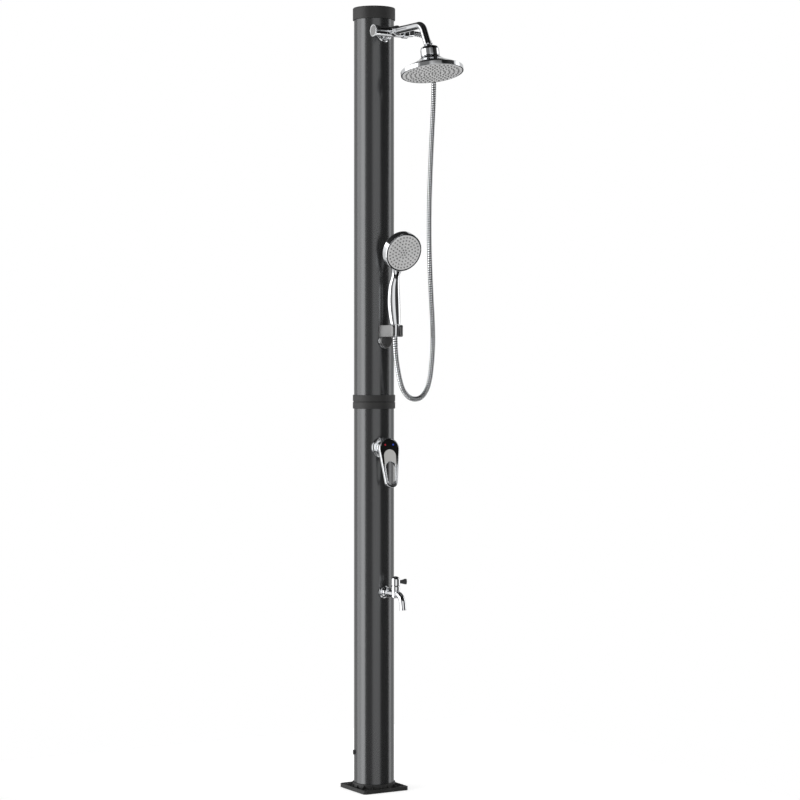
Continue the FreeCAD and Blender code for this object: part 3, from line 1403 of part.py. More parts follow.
hose, hose_line = ribbed_hose()
PIECES = {
    "base_plate": base_plate(),
    "lower_tube": lower_tube(),
    "bottom_plug": bottom_plug(),
    "tube_seals": tube_seals(),
    "union_sleeve": union_sleeve(),
    "union_ring_lower": collar(LOWER_TUBE_TOP - COLLAR_LOWER, COLLAR_LOWER),
    "union_ring_upper": collar(UPPER_TUBE_FOOT, COLLAR_UPPER),
    "upper_tube": upper_tube(),
    "top_cap": top_cap(),
    "drain_bush": drain_bush(),
    "drain_washer": drain_washer(),
    "drain_plug": drain_plug(),
    "inlet_spigot": inlet_spigot(),
    "inlet_filter": inlet_filter(),
    "feed_tee": feed_tee(),
    "cold_pipe": cold_pipe(),
    "hot_pipe": hot_pipe(),
    "mixed_pipe": mixed_pipe(),
    "pipe_clips": pipe_clips(),
    "back_nuts": back_nuts(),
    "mixer_block": mixer_block(),
    "mixer_gasket": front_gasket(MIXER_Z, MIXER_FRONT, MIXER_FLANGE_R - 1),
    "mixer_flange": front_flange(MIXER_Z, MIXER_FRONT, MIXER_FLANGE_R, FLANGE_OUT, FLANGE_STEP),
    "mixer_body": mixer_body(),
    "mixer_cartridge": mixer_cartridge(),
    "mixer_cover": mixer_cover(),
    "mixer_spindle": mixer_spindle(),
    "lever_frame": lever_frame(),
    "lever_inset": lever_inset(),
    "lever_screw": lever_screw(),
    "hot_mark": lever_mark(-1),
    "cold_mark": lever_mark(1),
    "diverter_gasket": front_gasket(DIVERTER_Z, FRONT, DIVERTER_FLANGE_R - 1),
    "diverter_flange": front_flange(DIVERTER_Z, FRONT, DIVERTER_FLANGE_R, FLANGE_OUT, FLANGE_STEP),
    "diverter_body": diverter_body(),
    "diverter_spool": diverter_spool(),
    "diverter_knob": diverter_knob(),
    "shower_arm": shower_arm(),
    "arm_nut": arm_nut(),
    "arm_ball": arm_ball(),
    "head_seat": head_seat(),
    "head_nut": head_nut(),
    "head_shell": head_shell(),
    "head_face": head_face(),
    "head_nozzles": head_nozzles(),
    "hose_nut": hose_nut(),
    "hose": hose,
    "hose_cone": hose_cone(),
    "handset_shell": handset_shell(),
    "handset_face": handset_face(),
    "handset_nozzles": handset_nozzles(),
    "holder_base": holder_base(),
    "holder_cradle": holder_cradle(),
    "holder_screws": holder_screws(),
    "tap_flange": front_flange(TAP_Z, FRONT, TAP_FLANGE_R, TAP_FLANGE_OUT, TAP_FLANGE_STEP),
    "tap_body": tap_body(),
    "tap_aerator": tap_aerator(),
    "tap_bonnet": tap_bonnet(),
    "tap_spindle": tap_spindle(),
    "tap_handle": tap_handle(),
}

os.makedirs("parts", exist_ok=True)
for name, shape in PIECES.items():
    shape.exportStep(f"parts/{name}.step")
    print(f"{name:18s} solids {len(shape.Solids)}  valid {shape.isValid()}  volume {shape.Volume:12.1f}")

print("pieces", len(PIECES))
print("hose length", round(hose_line.Length, 1), "mm, ribs", HOSE_RIBS)
print("hose least gap to itself", round(least_self_gap(hose_line), 1), "mm")
print("hose bend radii", [round(r, 1) for r in corner_radii(hose_corners())])
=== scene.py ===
# %% [markdown]
# # An outdoor shower post
# A tall dark tube stands on a ribbed foot and warms its water in the sun. On its front are a diverter with
# an overhead shower, a hand shower on a metal hose, a mixer with a loop lever and a foot tap. The sizes and
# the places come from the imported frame, so this file only gives each piece its fine shape and its finish.

# %% The frame
import bpy
import bmesh
import json
import math
from mathutils import Matrix, Vector

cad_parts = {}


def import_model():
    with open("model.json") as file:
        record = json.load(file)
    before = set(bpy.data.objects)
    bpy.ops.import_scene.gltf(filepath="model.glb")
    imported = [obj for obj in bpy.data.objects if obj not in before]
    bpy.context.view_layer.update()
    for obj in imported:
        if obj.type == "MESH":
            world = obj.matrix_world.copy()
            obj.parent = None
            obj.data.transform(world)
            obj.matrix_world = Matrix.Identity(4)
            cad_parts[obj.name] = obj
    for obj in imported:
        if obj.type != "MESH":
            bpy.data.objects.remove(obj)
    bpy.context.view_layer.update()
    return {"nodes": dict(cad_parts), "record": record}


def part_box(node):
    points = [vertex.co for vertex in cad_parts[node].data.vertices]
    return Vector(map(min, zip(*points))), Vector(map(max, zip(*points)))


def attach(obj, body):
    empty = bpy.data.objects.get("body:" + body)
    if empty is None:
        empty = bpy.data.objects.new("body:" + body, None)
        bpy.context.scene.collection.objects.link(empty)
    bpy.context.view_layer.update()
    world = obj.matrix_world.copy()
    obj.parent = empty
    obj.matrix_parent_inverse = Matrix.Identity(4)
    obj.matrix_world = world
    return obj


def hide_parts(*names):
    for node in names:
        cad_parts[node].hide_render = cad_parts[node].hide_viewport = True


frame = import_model()
MM = 0.001
print("pieces in the frame:", len(frame["nodes"]))

# %% [markdown]
# ## The camera
# The camera comes first, because every later choice is judged through it. It stands six metres away, level,
# and 30.5 degrees to the left of the post's front. A long lens keeps the tube's sides parallel, and a small
# upward shift frames the whole height without tilting the camera.

# %% Camera
VIEW_AZIMUTH = math.radians(-30.5)
VIEW_DISTANCE = 6.3
VIEW_ASIDE = 0.07142
EYE_HEIGHT = 1.2045
LENS = 103.17
SHIFT_UP = -0.0625

back = Vector((math.sin(VIEW_AZIMUTH), -math.cos(VIEW_AZIMUTH), 0))
right = Vector((-back.y, back.x, 0))
camera_data = bpy.data.cameras.new("camera")
camera_data.lens = LENS
camera_data.sensor_width = 36
camera_data.shift_y = SHIFT_UP
camera_data.clip_end = 60
camera = bpy.data.objects.new("camera", camera_data)
camera.location = back * VIEW_DISTANCE + right * VIEW_ASIDE + Vector((0, 0, EYE_HEIGHT))
camera.rotation_euler = (math.radians(90), 0, VIEW_AZIMUTH)
bpy.context.scene.collection.objects.link(camera)
bpy.context.scene.camera = camera
bpy.context.scene.view_settings.view_transform = "Standard"
print("camera at", tuple(round(c, 3) for c in camera.location))

# %% [markdown]
# ## Shader node groups
# A finish is never one flat colour. Three effects return in many materials here, so each is a node group
# with named inputs: a fine grain as moulded plastic has, the dried water marks that dull chrome, and the
# long faint lines that a drawn or extruded tube keeps. A group puts out only masks and heights. The shader
# stays in the material itself.

# %% Node helpers
def add(tree, kind, **settings):
    """A node with its settings and, where a key names a socket, that socket's value."""
    node = tree.nodes.new(kind)
    for key, value in settings.items():
        if key in node.inputs.keys():
            node.inputs[key].default_value = value
        else:
            setattr(node, key, value)
    return node


def group(name, inputs, outputs):
    """An empty shader group with float inputs and outputs, and its two end nodes."""
    tree = bpy.data.node_groups.new(name, "ShaderNodeTree")
    for key, value in inputs.items():
        socket = tree.interface.new_socket(name=key, in_out="INPUT", socket_type="NodeSocketFloat")
        socket.default_value = value
    for key in outputs:
        tree.interface.new_socket(name=key, in_out="OUTPUT", socket_type="NodeSocketFloat")
    return tree, tree.nodes.new("NodeGroupInput"), tree.nodes.new("NodeGroupOutput")


def ramp(tree, value, low, high, low_out=0.0, high_out=1.0):
    """Maps a value's range onto another, smoothly and clamped."""
    node = add(tree, "ShaderNodeMapRange", interpolation_type="SMOOTHSTEP")
    tree.links.new(value, node.inputs["Value"])
    for key, number in (("From Min", low), ("From Max", high), ("To Min", low_out), ("To Max", high_out)):
        node.inputs[key].default_value = number
    return node.outputs["Result"]


# %% The three groups
def fine_grain():
    tree, start, end = group("fine grain", {"Scale": 900.0}, ("Height", "Mottle"))
    spot = add(tree, "ShaderNodeTexCoord")
    fine = add(tree, "ShaderNodeTexNoise", Detail=3.0, Roughness=0.6)
    broad = add(tree, "ShaderNodeTexNoise", Scale=14.0, Detail=4.0)
    tree.links.new(spot.outputs["Object"], fine.inputs["Vector"])
    tree.links.new(spot.outputs["Object"], broad.inputs["Vector"])
    tree.links.new(start.outputs["Scale"], fine.inputs["Scale"])
    tree.links.new(fine.outputs["Fac"], end.inputs["Height"])
    tree.links.new(ramp(tree, broad.outputs["Fac"], 0.3, 0.7), end.inputs["Mottle"])
    return tree


def water_marks():
    tree, start, end = group("water marks", {"Scale": 160.0}, ("Marks", "Film"))
    spot = add(tree, "ShaderNodeTexCoord")
    drops = add(tree, "ShaderNodeTexVoronoi", feature="DISTANCE_TO_EDGE", Randomness=1.0)
    film = add(tree, "ShaderNodeTexNoise", Scale=22.0, Detail=5.0, Roughness=0.65)
    for node in (drops, film):
        tree.links.new(spot.outputs["Object"], node.inputs["Vector"])
    tree.links.new(start.outputs["Scale"], drops.inputs["Scale"])
    rims = ramp(tree, drops.outputs["Distance"], 0.0, 0.06, 1.0, 0.0)
    cloud = ramp(tree, film.outputs["Fac"], 0.42, 0.75)
    both = add(tree, "ShaderNodeMath", operation="MULTIPLY")
    tree.links.new(rims, both.inputs[0])
    tree.links.new(cloud, both.inputs[1])
    tree.links.new(both.outputs["Value"], end.inputs["Marks"])
    tree.links.new(cloud, end.inputs["Film"])
    return tree


def drawn_lines():
    tree, start, end = group("drawn lines", {"Fineness": 700.0}, ("Height", "Streaks"))
    spot = add(tree, "ShaderNodeTexCoord")
    across = add(tree, "ShaderNodeMapping", Scale=(1.0, 1.0, 0.012))
    lines = add(tree, "ShaderNodeTexNoise", Detail=2.0)
    streaks = add(tree, "ShaderNodeTexNoise", Scale=60.0, Detail=4.0, Roughness=0.6)
    tree.links.new(spot.outputs["Object"], across.inputs["Vector"])
    tree.links.new(across.outputs["Vector"], lines.inputs["Vector"])
    tree.links.new(across.outputs["Vector"], streaks.inputs["Vector"])
    tree.links.new(start.outputs["Fineness"], lines.inputs["Scale"])
    tree.links.new(lines.outputs["Fac"], end.inputs["Height"])
    tree.links.new(ramp(tree, streaks.outputs["Fac"], 0.35, 0.7), end.inputs["Streaks"])
    return tree


GRAIN, MARKS, LINES = fine_grain(), water_marks(), drawn_lines()
print("node groups:", GRAIN.name, "/", MARKS.name, "/", LINES.name)

# %% [markdown]
# ## Materials
# Every finish starts from the same short recipe: a Principled shader whose roughness and colour move a
# little between two values under a mask, and a faint bump. What differs is which group drives the mask.
# Chrome is nearly a mirror, so its colour hardly moves. The tube is a satin metal coat, dark and drawn
# lengthwise.

# %% Material helpers
def material(name, effect, height, mask, colours, rough, metallic=0.0, bump=0.1, reach=0.05, **effect_inputs):
    """A material whose colour and roughness move between two values under one mask of a group."""
    made = bpy.data.materials.new(name)
    made.use_nodes = True
    tree = made.node_tree
    shader = tree.nodes["Principled BSDF"]
    shader.inputs["Metallic"].default_value = metallic
    source = add(tree, "ShaderNodeGroup", node_tree=effect)
    for key, value in effect_inputs.items():
        source.inputs[key.replace("_", " ").title()].default_value = value
    mix = add(tree, "ShaderNodeMix", data_type="RGBA")
    mix.inputs["A"].default_value = (*colours[0], 1)
    mix.inputs["B"].default_value = (*colours[1], 1)
    tree.links.new(source.outputs[mask], mix.inputs["Factor"])
    tree.links.new(mix.outputs["Result"], shader.inputs["Base Color"])
    tree.links.new(ramp(tree, source.outputs[mask], 0, 1, *rough), shader.inputs["Roughness"])
    relief = add(tree, "ShaderNodeBump", Strength=bump, Distance=reach * MM)
    tree.links.new(source.outputs[height], relief.inputs["Height"])
    tree.links.new(relief.outputs["Normal"], shader.inputs["Normal"])
    return made


def grey(level, tint=(1, 1, 1)):
    return tuple(level * t for t in tint)


COOL = (0.985, 1.0, 1.02)
WARM = (1.0, 0.99, 0.96)

# %% The finishes
TUBE = material("tube satin", LINES, "Height", "Streaks", (grey(0.112, COOL), grey(0.118, COOL)),
                (0.215, 0.235), metallic=0.85, bump=0.03, fineness=900.0)
BLACK = material("moulded black", GRAIN, "Height", "Mottle", (grey(0.022), grey(0.03)), (0.5, 0.6), bump=0.35)
CHROME = material("chrome", MARKS, "Film", "Marks", (grey(0.93, COOL), grey(0.86, COOL)),
                  (0.045, 0.12), metallic=1.0, bump=0.02)
PLATED = material("chromed plastic", MARKS, "Film", "Marks", (grey(0.92, COOL), grey(0.85, COOL)),
                  (0.055, 0.13), metallic=1.0, bump=0.03, scale=120.0)
SATIN = material("satin nickel", GRAIN, "Height", "Mottle", (grey(0.27), grey(0.32)), (0.24, 0.32),
                 metallic=0.9, bump=0.08)
FACE = material("spray face", GRAIN, "Height", "Mottle", (grey(0.66), grey(0.72)), (0.34, 0.46), bump=0.2)
NOZZLE = material("nozzle rubber", GRAIN, "Height", "Mottle", (grey(0.2), grey(0.26)), (0.5, 0.6), bump=0.2)
SEAL = material("black rubber", GRAIN, "Height", "Mottle", (grey(0.025), grey(0.035)), (0.6, 0.7), bump=0.2)
PAD = material("pale pad", GRAIN, "Height", "Mottle", (grey(0.52, WARM), grey(0.56, WARM)), (0.4, 0.48),
               bump=0.1)
GLOSS = material("gloss black", GRAIN, "Height", "Mottle", (grey(0.006), grey(0.01)), (0.05, 0.09), bump=0.0)
RED = material("red enamel", GRAIN, "Height", "Mottle", ((0.5, 0.012, 0.03), (0.6, 0.02, 0.04)), (0.15, 0.2))
BLUE = material("blue enamel", GRAIN, "Height", "Mottle", ((0.03, 0.07, 0.5), (0.04, 0.1, 0.6)), (0.15, 0.2))
BRASS = material("cast brass", GRAIN, "Height", "Mottle", ((0.62, 0.43, 0.17), (0.72, 0.53, 0.24)),
                 (0.3, 0.42),
                 metallic=1.0)
PIPE = material("white pipe", GRAIN, "Height", "Mottle", (grey(0.74), grey(0.8)), (0.4, 0.5))
STEEL = material("plain steel", LINES, "Height", "Streaks", (grey(0.55), grey(0.62)), (0.25, 0.35),
                 metallic=1.0)


def with_painted_groove_shade(finish, name, groove_shade):
    """A copy of a finish whose colour is darkened where the surface carries a groove, as painted shade in the
    grooves.
    """
    made = finish.copy()
    made.name = name
    tree = made.node_tree
    depth = add(tree, "ShaderNodeAttribute", attribute_name="groove")
    shade = ramp(tree, depth.outputs["Fac"], 0.0, 1.0, 1.0, groove_shade)
    shaded_colour = add(tree, "ShaderNodeVectorMath", operation="SCALE")
    colour_in = tree.nodes["Principled BSDF"].inputs["Base Color"]
    tree.links.new(colour_in.links[0].from_socket, shaded_colour.inputs[0])
    tree.links.new(shade, shaded_colour.inputs["Scale"])
    tree.links.new(shaded_colour.outputs["Vector"], colour_in)
    return made


# The hose's chrome, with painted shade in the grooves of its winding.
GROOVE_SHADED_CHROME = with_painted_groove_shade(CHROME, "chrome with painted groove shade", 0.05)

SLOT_FINISH = {
    "tube": TUBE, "black_plastic": BLACK, "chrome": CHROME, "chromed_plastic": PLATED, "spray_face": FACE,
    "nozzle_rubber": NOZZLE, "seal_rubber": SEAL, "brass": BRASS, "pipe_plastic": PIPE, "steel": STEEL,
    "gloss_black": GLOSS, "red_mark": RED, "blue_mark": BLUE,
}
SLOT_OF = {entry["node"]: entry["material_slot"] for entry in frame["record"]["subparts"]}
BODY_OF = {node: body for body, nodes in frame["record"]["behaviour"]["bodies"].items() for node in nodes}
for node, obj in frame["nodes"].items():
    obj.data.materials.clear()
    obj.data.materials.append(SLOT_FINISH[SLOT_OF[node]])
print("finishes:", len(SLOT_FINISH))

# %% [markdown]
# ## Helpers for shapes
# Most fittings are turned parts. A turned part is a profile spun about an axis, and what makes it look real
# is that no edge is perfectly sharp. So a profile is written by its corners, each corner is given a small
# round, and only then is it spun. Sizes are in millimetres, and a piece is placed by a matrix in its mesh,
# so that its object stays at the origin.

# %% Points and places
def rounded(points, radius, steps=3, closed=True):
    """A polyline with its corners rounded. A point may carry its own radius as a third value."""
    out, count = [], len(points)
    for i, point in enumerate(points):
        here = Vector(point[:2])
        size = point[2] if len(point) > 2 else radius
        if not closed and i in (0, count - 1) or size <= 0:
            out.append(here)
            continue
        to_last = Vector(points[i - 1][:2]) - here
        to_next = Vector(points[(i + 1) % count][:2]) - here
        half = (math.pi - to_last.angle(to_next)) / 2
        if half < 0.02:
            out.append(here)
            continue
        reach = min(size * math.tan(half), 0.45 * to_last.length, 0.45 * to_next.length)
        a, b = here + to_last.normalized() * reach, here + to_next.normalized() * reach
        count_here = max(2, math.ceil(steps * half / 0.7))
        for k in range(count_here + 1):
            t = k / count_here
            out.append(a * (1 - t) ** 2 + here * 2 * t * (1 - t) + b * t ** 2)
    return out


def place(origin, along, towards=(0, 0, 1)):
    """A matrix from millimetres about +Z to the frame: Z goes along, and Y leans as towards does."""
    z = Vector(along).normalized()
    y = Vector(towards) - z * z.dot(Vector(towards))
    if y.length < 1e-6:
        y = Vector((0, 1, 0)) - z * z.y
    y.normalize()
    turn = Matrix((y.cross(z), y, z)).transposed().to_4x4()
    return Matrix.Translation(Vector(origin) * MM) @ turn @ Matrix.Scale(MM, 4)


def finish_piece(name, mesh, node, finish, replaced=None, sharp=35, smooth=True):
    """Links a mesh as a piece of its node's body, with its material and soft shading between sharp edges."""
    piece = bpy.data.objects.new(name, mesh)
    bpy.context.scene.collection.objects.link(piece)
    mesh.materials.clear()
    mesh.materials.append(finish)
    if smooth:
        mesh.shade_smooth()
        mesh.set_sharp_from_angle(angle=math.radians(sharp))
        weigh = piece.modifiers.new("even shading", "WEIGHTED_NORMAL")
        weigh.keep_sharp = True
    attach(piece, BODY_OF[node])
    if replaced is None:
        replaced = (node,)
    if replaced:
        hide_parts(*replaced)
    return piece


def to_mesh(name, bm, matrix=None):
    if matrix is not None:
        bm.transform(matrix)
    bmesh.ops.remove_doubles(bm, verts=bm.verts, dist=1e-6)
    bmesh.ops.recalc_face_normals(bm, faces=bm.faces)
    mesh = bpy.data.meshes.new(name)
    bm.to_mesh(mesh)
    bm.free()
    return mesh


# %% Turned, swept and flat shapes
def spin(bm, profile, sides=72, matrix=None):
    """Adds a closed profile of (radius, height), spun about Z. Points on the axis become poles."""
    rings = []
    for radius, height in profile:
        if radius < 1e-6:
            rings.append([bm.verts.new((0, 0, height))])
            continue
        turn = [2 * math.pi * k / sides for k in range(sides)]
        rings.append([bm.verts.new((radius * math.cos(a), radius * math.sin(a), height)) for a in turn])
    made = [v for ring in rings for v in ring]
    for ring, after in zip(rings, rings[1:] + rings[:1]):
        for k in range(sides):
            corners = [ring[k % len(ring)], ring[(k + 1) % len(ring)]]
            corners += [after[(k + 1) % len(after)], after[k % len(after)]]
            corners = list(dict.fromkeys(corners))
            if len(corners) > 2:
                bm.faces.new(corners)
    if matrix is not None:
        bmesh.ops.transform(bm, matrix=matrix, verts=made)


def turned(name, corners, matrix, radius=0.5, sides=72, steps=3):
    bm = bmesh.new()
    spin(bm, rounded(corners, radius, steps), sides)
    return to_mesh(name, bm, matrix)


def turned_piece(node, corners, matrix, finish, radius=0.5, sides=72, steps=3):
    """A turned shape that is the whole skin of its node."""
    name = f"{node}_skin"
    return finish_piece(name, turned(name, corners, matrix, radius, sides, steps), node, finish)


def sweep(bm, points, radii, sides=32):
    """Adds a round bar through the points, with a flat cap on each end."""
    points = [Vector(p) for p in points]
    side = None
    rings = []
    for i, (point, radius) in enumerate(zip(points, radii)):
        along = (points[min(i + 1, len(points) - 1)] - points[max(i - 1, 0)]).normalized()
        if side is None:
            side = along.orthogonal()
        side = (side - along * side.dot(along)).normalized()
        other = along.cross(side)
        ring = []
        for k in range(sides):
            a = 2 * math.pi * k / sides
            ring.append(bm.verts.new(point + (side * math.cos(a) + other * math.sin(a)) * radius))
        rings.append(ring)
    for ring, after in zip(rings, rings[1:]):
        for k in range(sides):
            bm.faces.new((ring[k], ring[(k + 1) % sides], after[(k + 1) % sides], after[k]))
    bm.faces.new(list(reversed(rings[0])))
    bm.faces.new(rings[-1])


def bent_line(points, radius, step=3.0):
    """Points along straight runs joined by an arc of one radius at each inner point."""
    points = [Vector(p) for p in points]
    out = [points[0]]
    for before, corner, after in zip(points, points[1:], points[2:]):
        to_last, to_next = (before - corner).normalized(), (after - corner).normalized()
        half = (math.pi - to_last.angle(to_next)) / 2
        reach = radius * math.tan(half)
        middle = corner + (to_last + to_next).normalized() * (radius / math.cos(half))
        start = corner + to_last * reach - middle
        end = corner + to_next * reach - middle
        turns = max(4, int(2 * half * radius / step))
        for k in range(turns + 1):
            out.append(middle + start.normalized().slerp(end.normalized(), k / turns) * radius)
    out.append(points[-1])
    return out


def circle(radius, centre=(0, 0), sides=48, start=0.0, sweep_angle=2 * math.pi):
    count = sides if abs(sweep_angle - 2 * math.pi) < 1e-6 else sides + 1
    angles = [start + sweep_angle * k / sides for k in range(count)]
    return [Vector((centre[0] + radius * math.cos(a), centre[1] + radius * math.sin(a))) for a in angles]


def slab(name, outlines, low, high, matrix, edge=0.6, steps=3):
    """A flat plate with rounded rims. The first outline is its outside, and any others are holes."""
    data = bpy.data.curves.new(name, "CURVE")
    data.dimensions = "2D"
    data.fill_mode = "BOTH"
    for outline in outlines:
        spline = data.splines.new("POLY")
        spline.points.add(len(outline) - 1)
        for point, at in zip(spline.points, outline):
            point.co = (at[0], at[1], 0, 1)
        spline.use_cyclic_u = True
    data.extrude = (high - low) / 2 - edge
    data.bevel_depth = edge
    data.bevel_resolution = steps
    data.offset = -edge
    flat = bpy.data.objects.new(name, data)
    bpy.context.scene.collection.objects.link(flat)
    bpy.context.view_layer.update()
    made = bpy.data.meshes.new_from_object(flat.evaluated_get(bpy.context.evaluated_depsgraph_get()))
    bpy.data.objects.remove(flat)
    bm = bmesh.new()
    bm.from_mesh(made)
    bpy.data.meshes.remove(made)
    return to_mesh(name, bm, matrix @ Matrix.Translation((0, 0, (low + high) / 2)))


def joined(name, *meshes):
    """One mesh from several, each of which is freed."""
    bm = bmesh.new()
    for mesh in meshes:
        bm.from_mesh(mesh)
        bpy.data.meshes.remove(mesh)
    mesh = bpy.data.meshes.new(name)
    bm.to_mesh(mesh)
    bm.free()
    return mesh


print("shape helpers are ready")

# %% [markdown]
# ## The tube, its joint and its cap
# The post is two lengths of extruded pipe. They butt over an inner sleeve, and two black rings cover the
# joint. A cylinder primitive would have hard rims and no wall, so each length is turned with its real wall,
# and its rims are broken by half a millimetre as a saw and a file leave them.

# %% Post
POST_R = 55.0
PIPE_WALL = 3.2
POST_SIDES = 144
OVER_POST = 0.15  # the gap between the pipe and what is pushed over it
RING_R = 58.25


def span(node):
    """A node's lowest and highest height, in millimetres."""
    low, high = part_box(node)
    return low.z / MM, high.z / MM


def pipe_length(node):
    low, high = span(node)
    bore = POST_R - PIPE_WALL
    profile = [(bore, low), (POST_R, low), (POST_R, high), (bore, high)]
    turned_piece(node, profile, Matrix.Scale(MM, 4), TUBE, 0.5, POST_SIDES)


def cover_ring(node):
    low, high = span(node)
    bore = POST_R + OVER_POST
    profile = [(bore, low), (RING_R, low), (RING_R, high), (bore, high)]
    turned_piece(node, profile, Matrix.Scale(MM, 4), BLACK, 1.1, POST_SIDES, 5)


def cap():
    low, high = span("top_cap")
    foot, crown, bore, skirt = high - 33.5, high - 3.6, POST_R + OVER_POST, POST_R - PIPE_WALL - 0.3
    profile = [
        (0, high), (0, crown), (skirt - 5.5, crown, 0), (skirt - 5.5, low), (skirt, low), (skirt, crown),
        (bore, crown), (bore, foot), (RING_R, foot, 1.2), (RING_R, high, 3.2),
    ]
    turned_piece("top_cap", profile, Matrix.Scale(MM, 4), BLACK, 0.4, POST_SIDES, 5)


for pipe in ("lower_tube", "upper_tube"):
    pipe_length(pipe)
for ring_node in ("union_ring_lower", "union_ring_upper"):
    cover_ring(ring_node)
cap()
print("post from", span("lower_tube")[0], "to", span("top_cap")[1], "mm")

# %% [markdown]
# ## The foot
# The foot is one black moulding: a square plate with a raised border, a round socket for the tube, and thin
# ribs that run out from the socket with pockets between them. The ribs repeat round a circle, so Geometry
# Nodes places them. Each rib is moulded once and turned by its number, and its outer end is then drawn out
# to the square border, whose distance depends on the angle.

# %% Geometry Nodes helpers
def node_tree(name, sockets):
    """An empty Geometry Nodes tree with named inputs, given as {name: (socket type, value)}."""
    tree = bpy.data.node_groups.new(name, "GeometryNodeTree")
    tree.interface.new_socket(name="Geometry", in_out="INPUT", socket_type="NodeSocketGeometry")
    for key, (kind, value) in sockets.items():
        socket = tree.interface.new_socket(name=key, in_out="INPUT", socket_type=kind)
        if value is not None:
            socket.default_value = value
    tree.interface.new_socket(name="Geometry", in_out="OUTPUT", socket_type="NodeSocketGeometry")
    return tree, tree.nodes.new("NodeGroupInput"), tree.nodes.new("NodeGroupOutput")


def math_node(tree, operation, *values):
    node = add(tree, "ShaderNodeMath", operation=operation)
    for socket, value in zip(node.inputs, values):
        if isinstance(value, (int, float)):
            socket.default_value = value
        else:
            tree.links.new(value, socket)
    return node.outputs["Value"]


def run_tree(name, source, tree, values):
    """Runs a tree on an object, returns the plain mesh it makes, and deletes the object."""
    host = bpy.data.objects.new(name, source)
    bpy.context.scene.collection.objects.link(host)
    modifier = host.modifiers.new(tree.name, "NODES")
    modifier.node_group = tree
    for item in tree.interface.items_tree:
        if item.in_out == "INPUT" and item.name in values:
            modifier[item.identifier] = values[item.name]
    bpy.context.view_layer.update()
    depsgraph = bpy.context.evaluated_depsgraph_get()
    mesh = bpy.data.meshes.new_from_object(host.evaluated_get(depsgraph), depsgraph=depsgraph)
    mesh.name = name
    bpy.data.objects.remove(host)
    return mesh


# %% Foot
FOOT_HALF = 70.0
FOOT_CORNER = 9.0
FOOT_EDGE = 10.5
FOOT_BAND = 5.0
PAN_TOP = 3.5
OPENING_R = 46.0
HUB_R = 58.35
HUB_TOP = 20.0
RIBS = 16
RIB_WALL = 2.4
BOLT_AT = 56.5
BOLT_R = 4.5
BOSS_R = 9.2


def rib_circle():
    """A tree that sets one rib round the post a number of times and draws its end out to the border."""
    tree, start, end = node_tree("foot ribs", {
        "Count": ("NodeSocketInt", 16), "Border": ("NodeSocketFloat", 0.068),
        "Moved Beyond": ("NodeSocketFloat", 0.065),
        "Finish": ("NodeSocketMaterial", None),
    })
    spots = add(tree, "GeometryNodeMeshLine", Offset=(0, 0, 0))
    number = tree.nodes.new("GeometryNodeInputIndex")
    step = math_node(tree, "DIVIDE", 2 * math.pi, start.outputs["Count"])
    angle = math_node(tree, "MULTIPLY", math_node(tree, "ADD", number.outputs["Index"], 0.5), step)
    turn = tree.nodes.new("ShaderNodeCombineXYZ")
    copies = tree.nodes.new("GeometryNodeInstanceOnPoints")
    real = tree.nodes.new("GeometryNodeRealizeInstances")
    place_of = tree.nodes.new("GeometryNodeInputPosition")
    parts = tree.nodes.new("ShaderNodeSeparateXYZ")
    tree.links.new(start.outputs["Count"], spots.inputs["Count"])
    tree.links.new(angle, turn.inputs["Z"])
    tree.links.new(spots.outputs["Mesh"], copies.inputs["Points"])
    tree.links.new(start.outputs["Geometry"], copies.inputs["Instance"])
    tree.links.new(turn.outputs["Vector"], copies.inputs["Rotation"])
    tree.links.new(copies.outputs["Instances"], real.inputs["Geometry"])
    tree.links.new(place_of.outputs["Position"], parts.inputs["Vector"])
    x, y = parts.outputs["X"], parts.outputs["Y"]
    squares = [math_node(tree, "MULTIPLY", side, side) for side in (x, y)]
    away = math_node(tree, "SQRT", math_node(tree, "ADD", *squares))
    outer = math_node(tree, "GREATER_THAN", away, start.outputs["Moved Beyond"])
    larger = math_node(tree, "MAXIMUM", math_node(tree, "ABSOLUTE", x), math_node(tree, "ABSOLUTE", y))
    grow = math_node(tree, "DIVIDE", start.outputs["Border"], math_node(tree, "MAXIMUM", larger, 1e-4))
    moved = tree.nodes.new("ShaderNodeCombineXYZ")
    tree.links.new(math_node(tree, "MULTIPLY", x, grow), moved.inputs["X"])
    tree.links.new(math_node(tree, "MULTIPLY", y, grow), moved.inputs["Y"])
    tree.links.new(parts.outputs["Z"], moved.inputs["Z"])
    drawn = tree.nodes.new("GeometryNodeSetPosition")
    tree.links.new(real.outputs["Geometry"], drawn.inputs["Geometry"])
    tree.links.new(outer, drawn.inputs["Selection"])
    tree.links.new(moved.outputs["Vector"], drawn.inputs["Position"])
    dressed = tree.nodes.new("GeometryNodeSetMaterial")
    tree.links.new(drawn.outputs["Geometry"], dressed.inputs["Geometry"])
    tree.links.new(start.outputs["Finish"], dressed.inputs["Material"])
    tree.links.new(dressed.outputs["Geometry"], end.inputs["Geometry"])
    return tree


def square_outline(half, corner, sides=8):
    """A square with round corners, as a list of points."""
    points = []
    for k, (x, y) in enumerate(((1, 1), (-1, 1), (-1, -1), (1, -1))):
        centre = (x * (half - corner), y * (half - corner))
        points += circle(corner, centre, sides, math.pi / 2 * k, math.pi / 2)
    return points


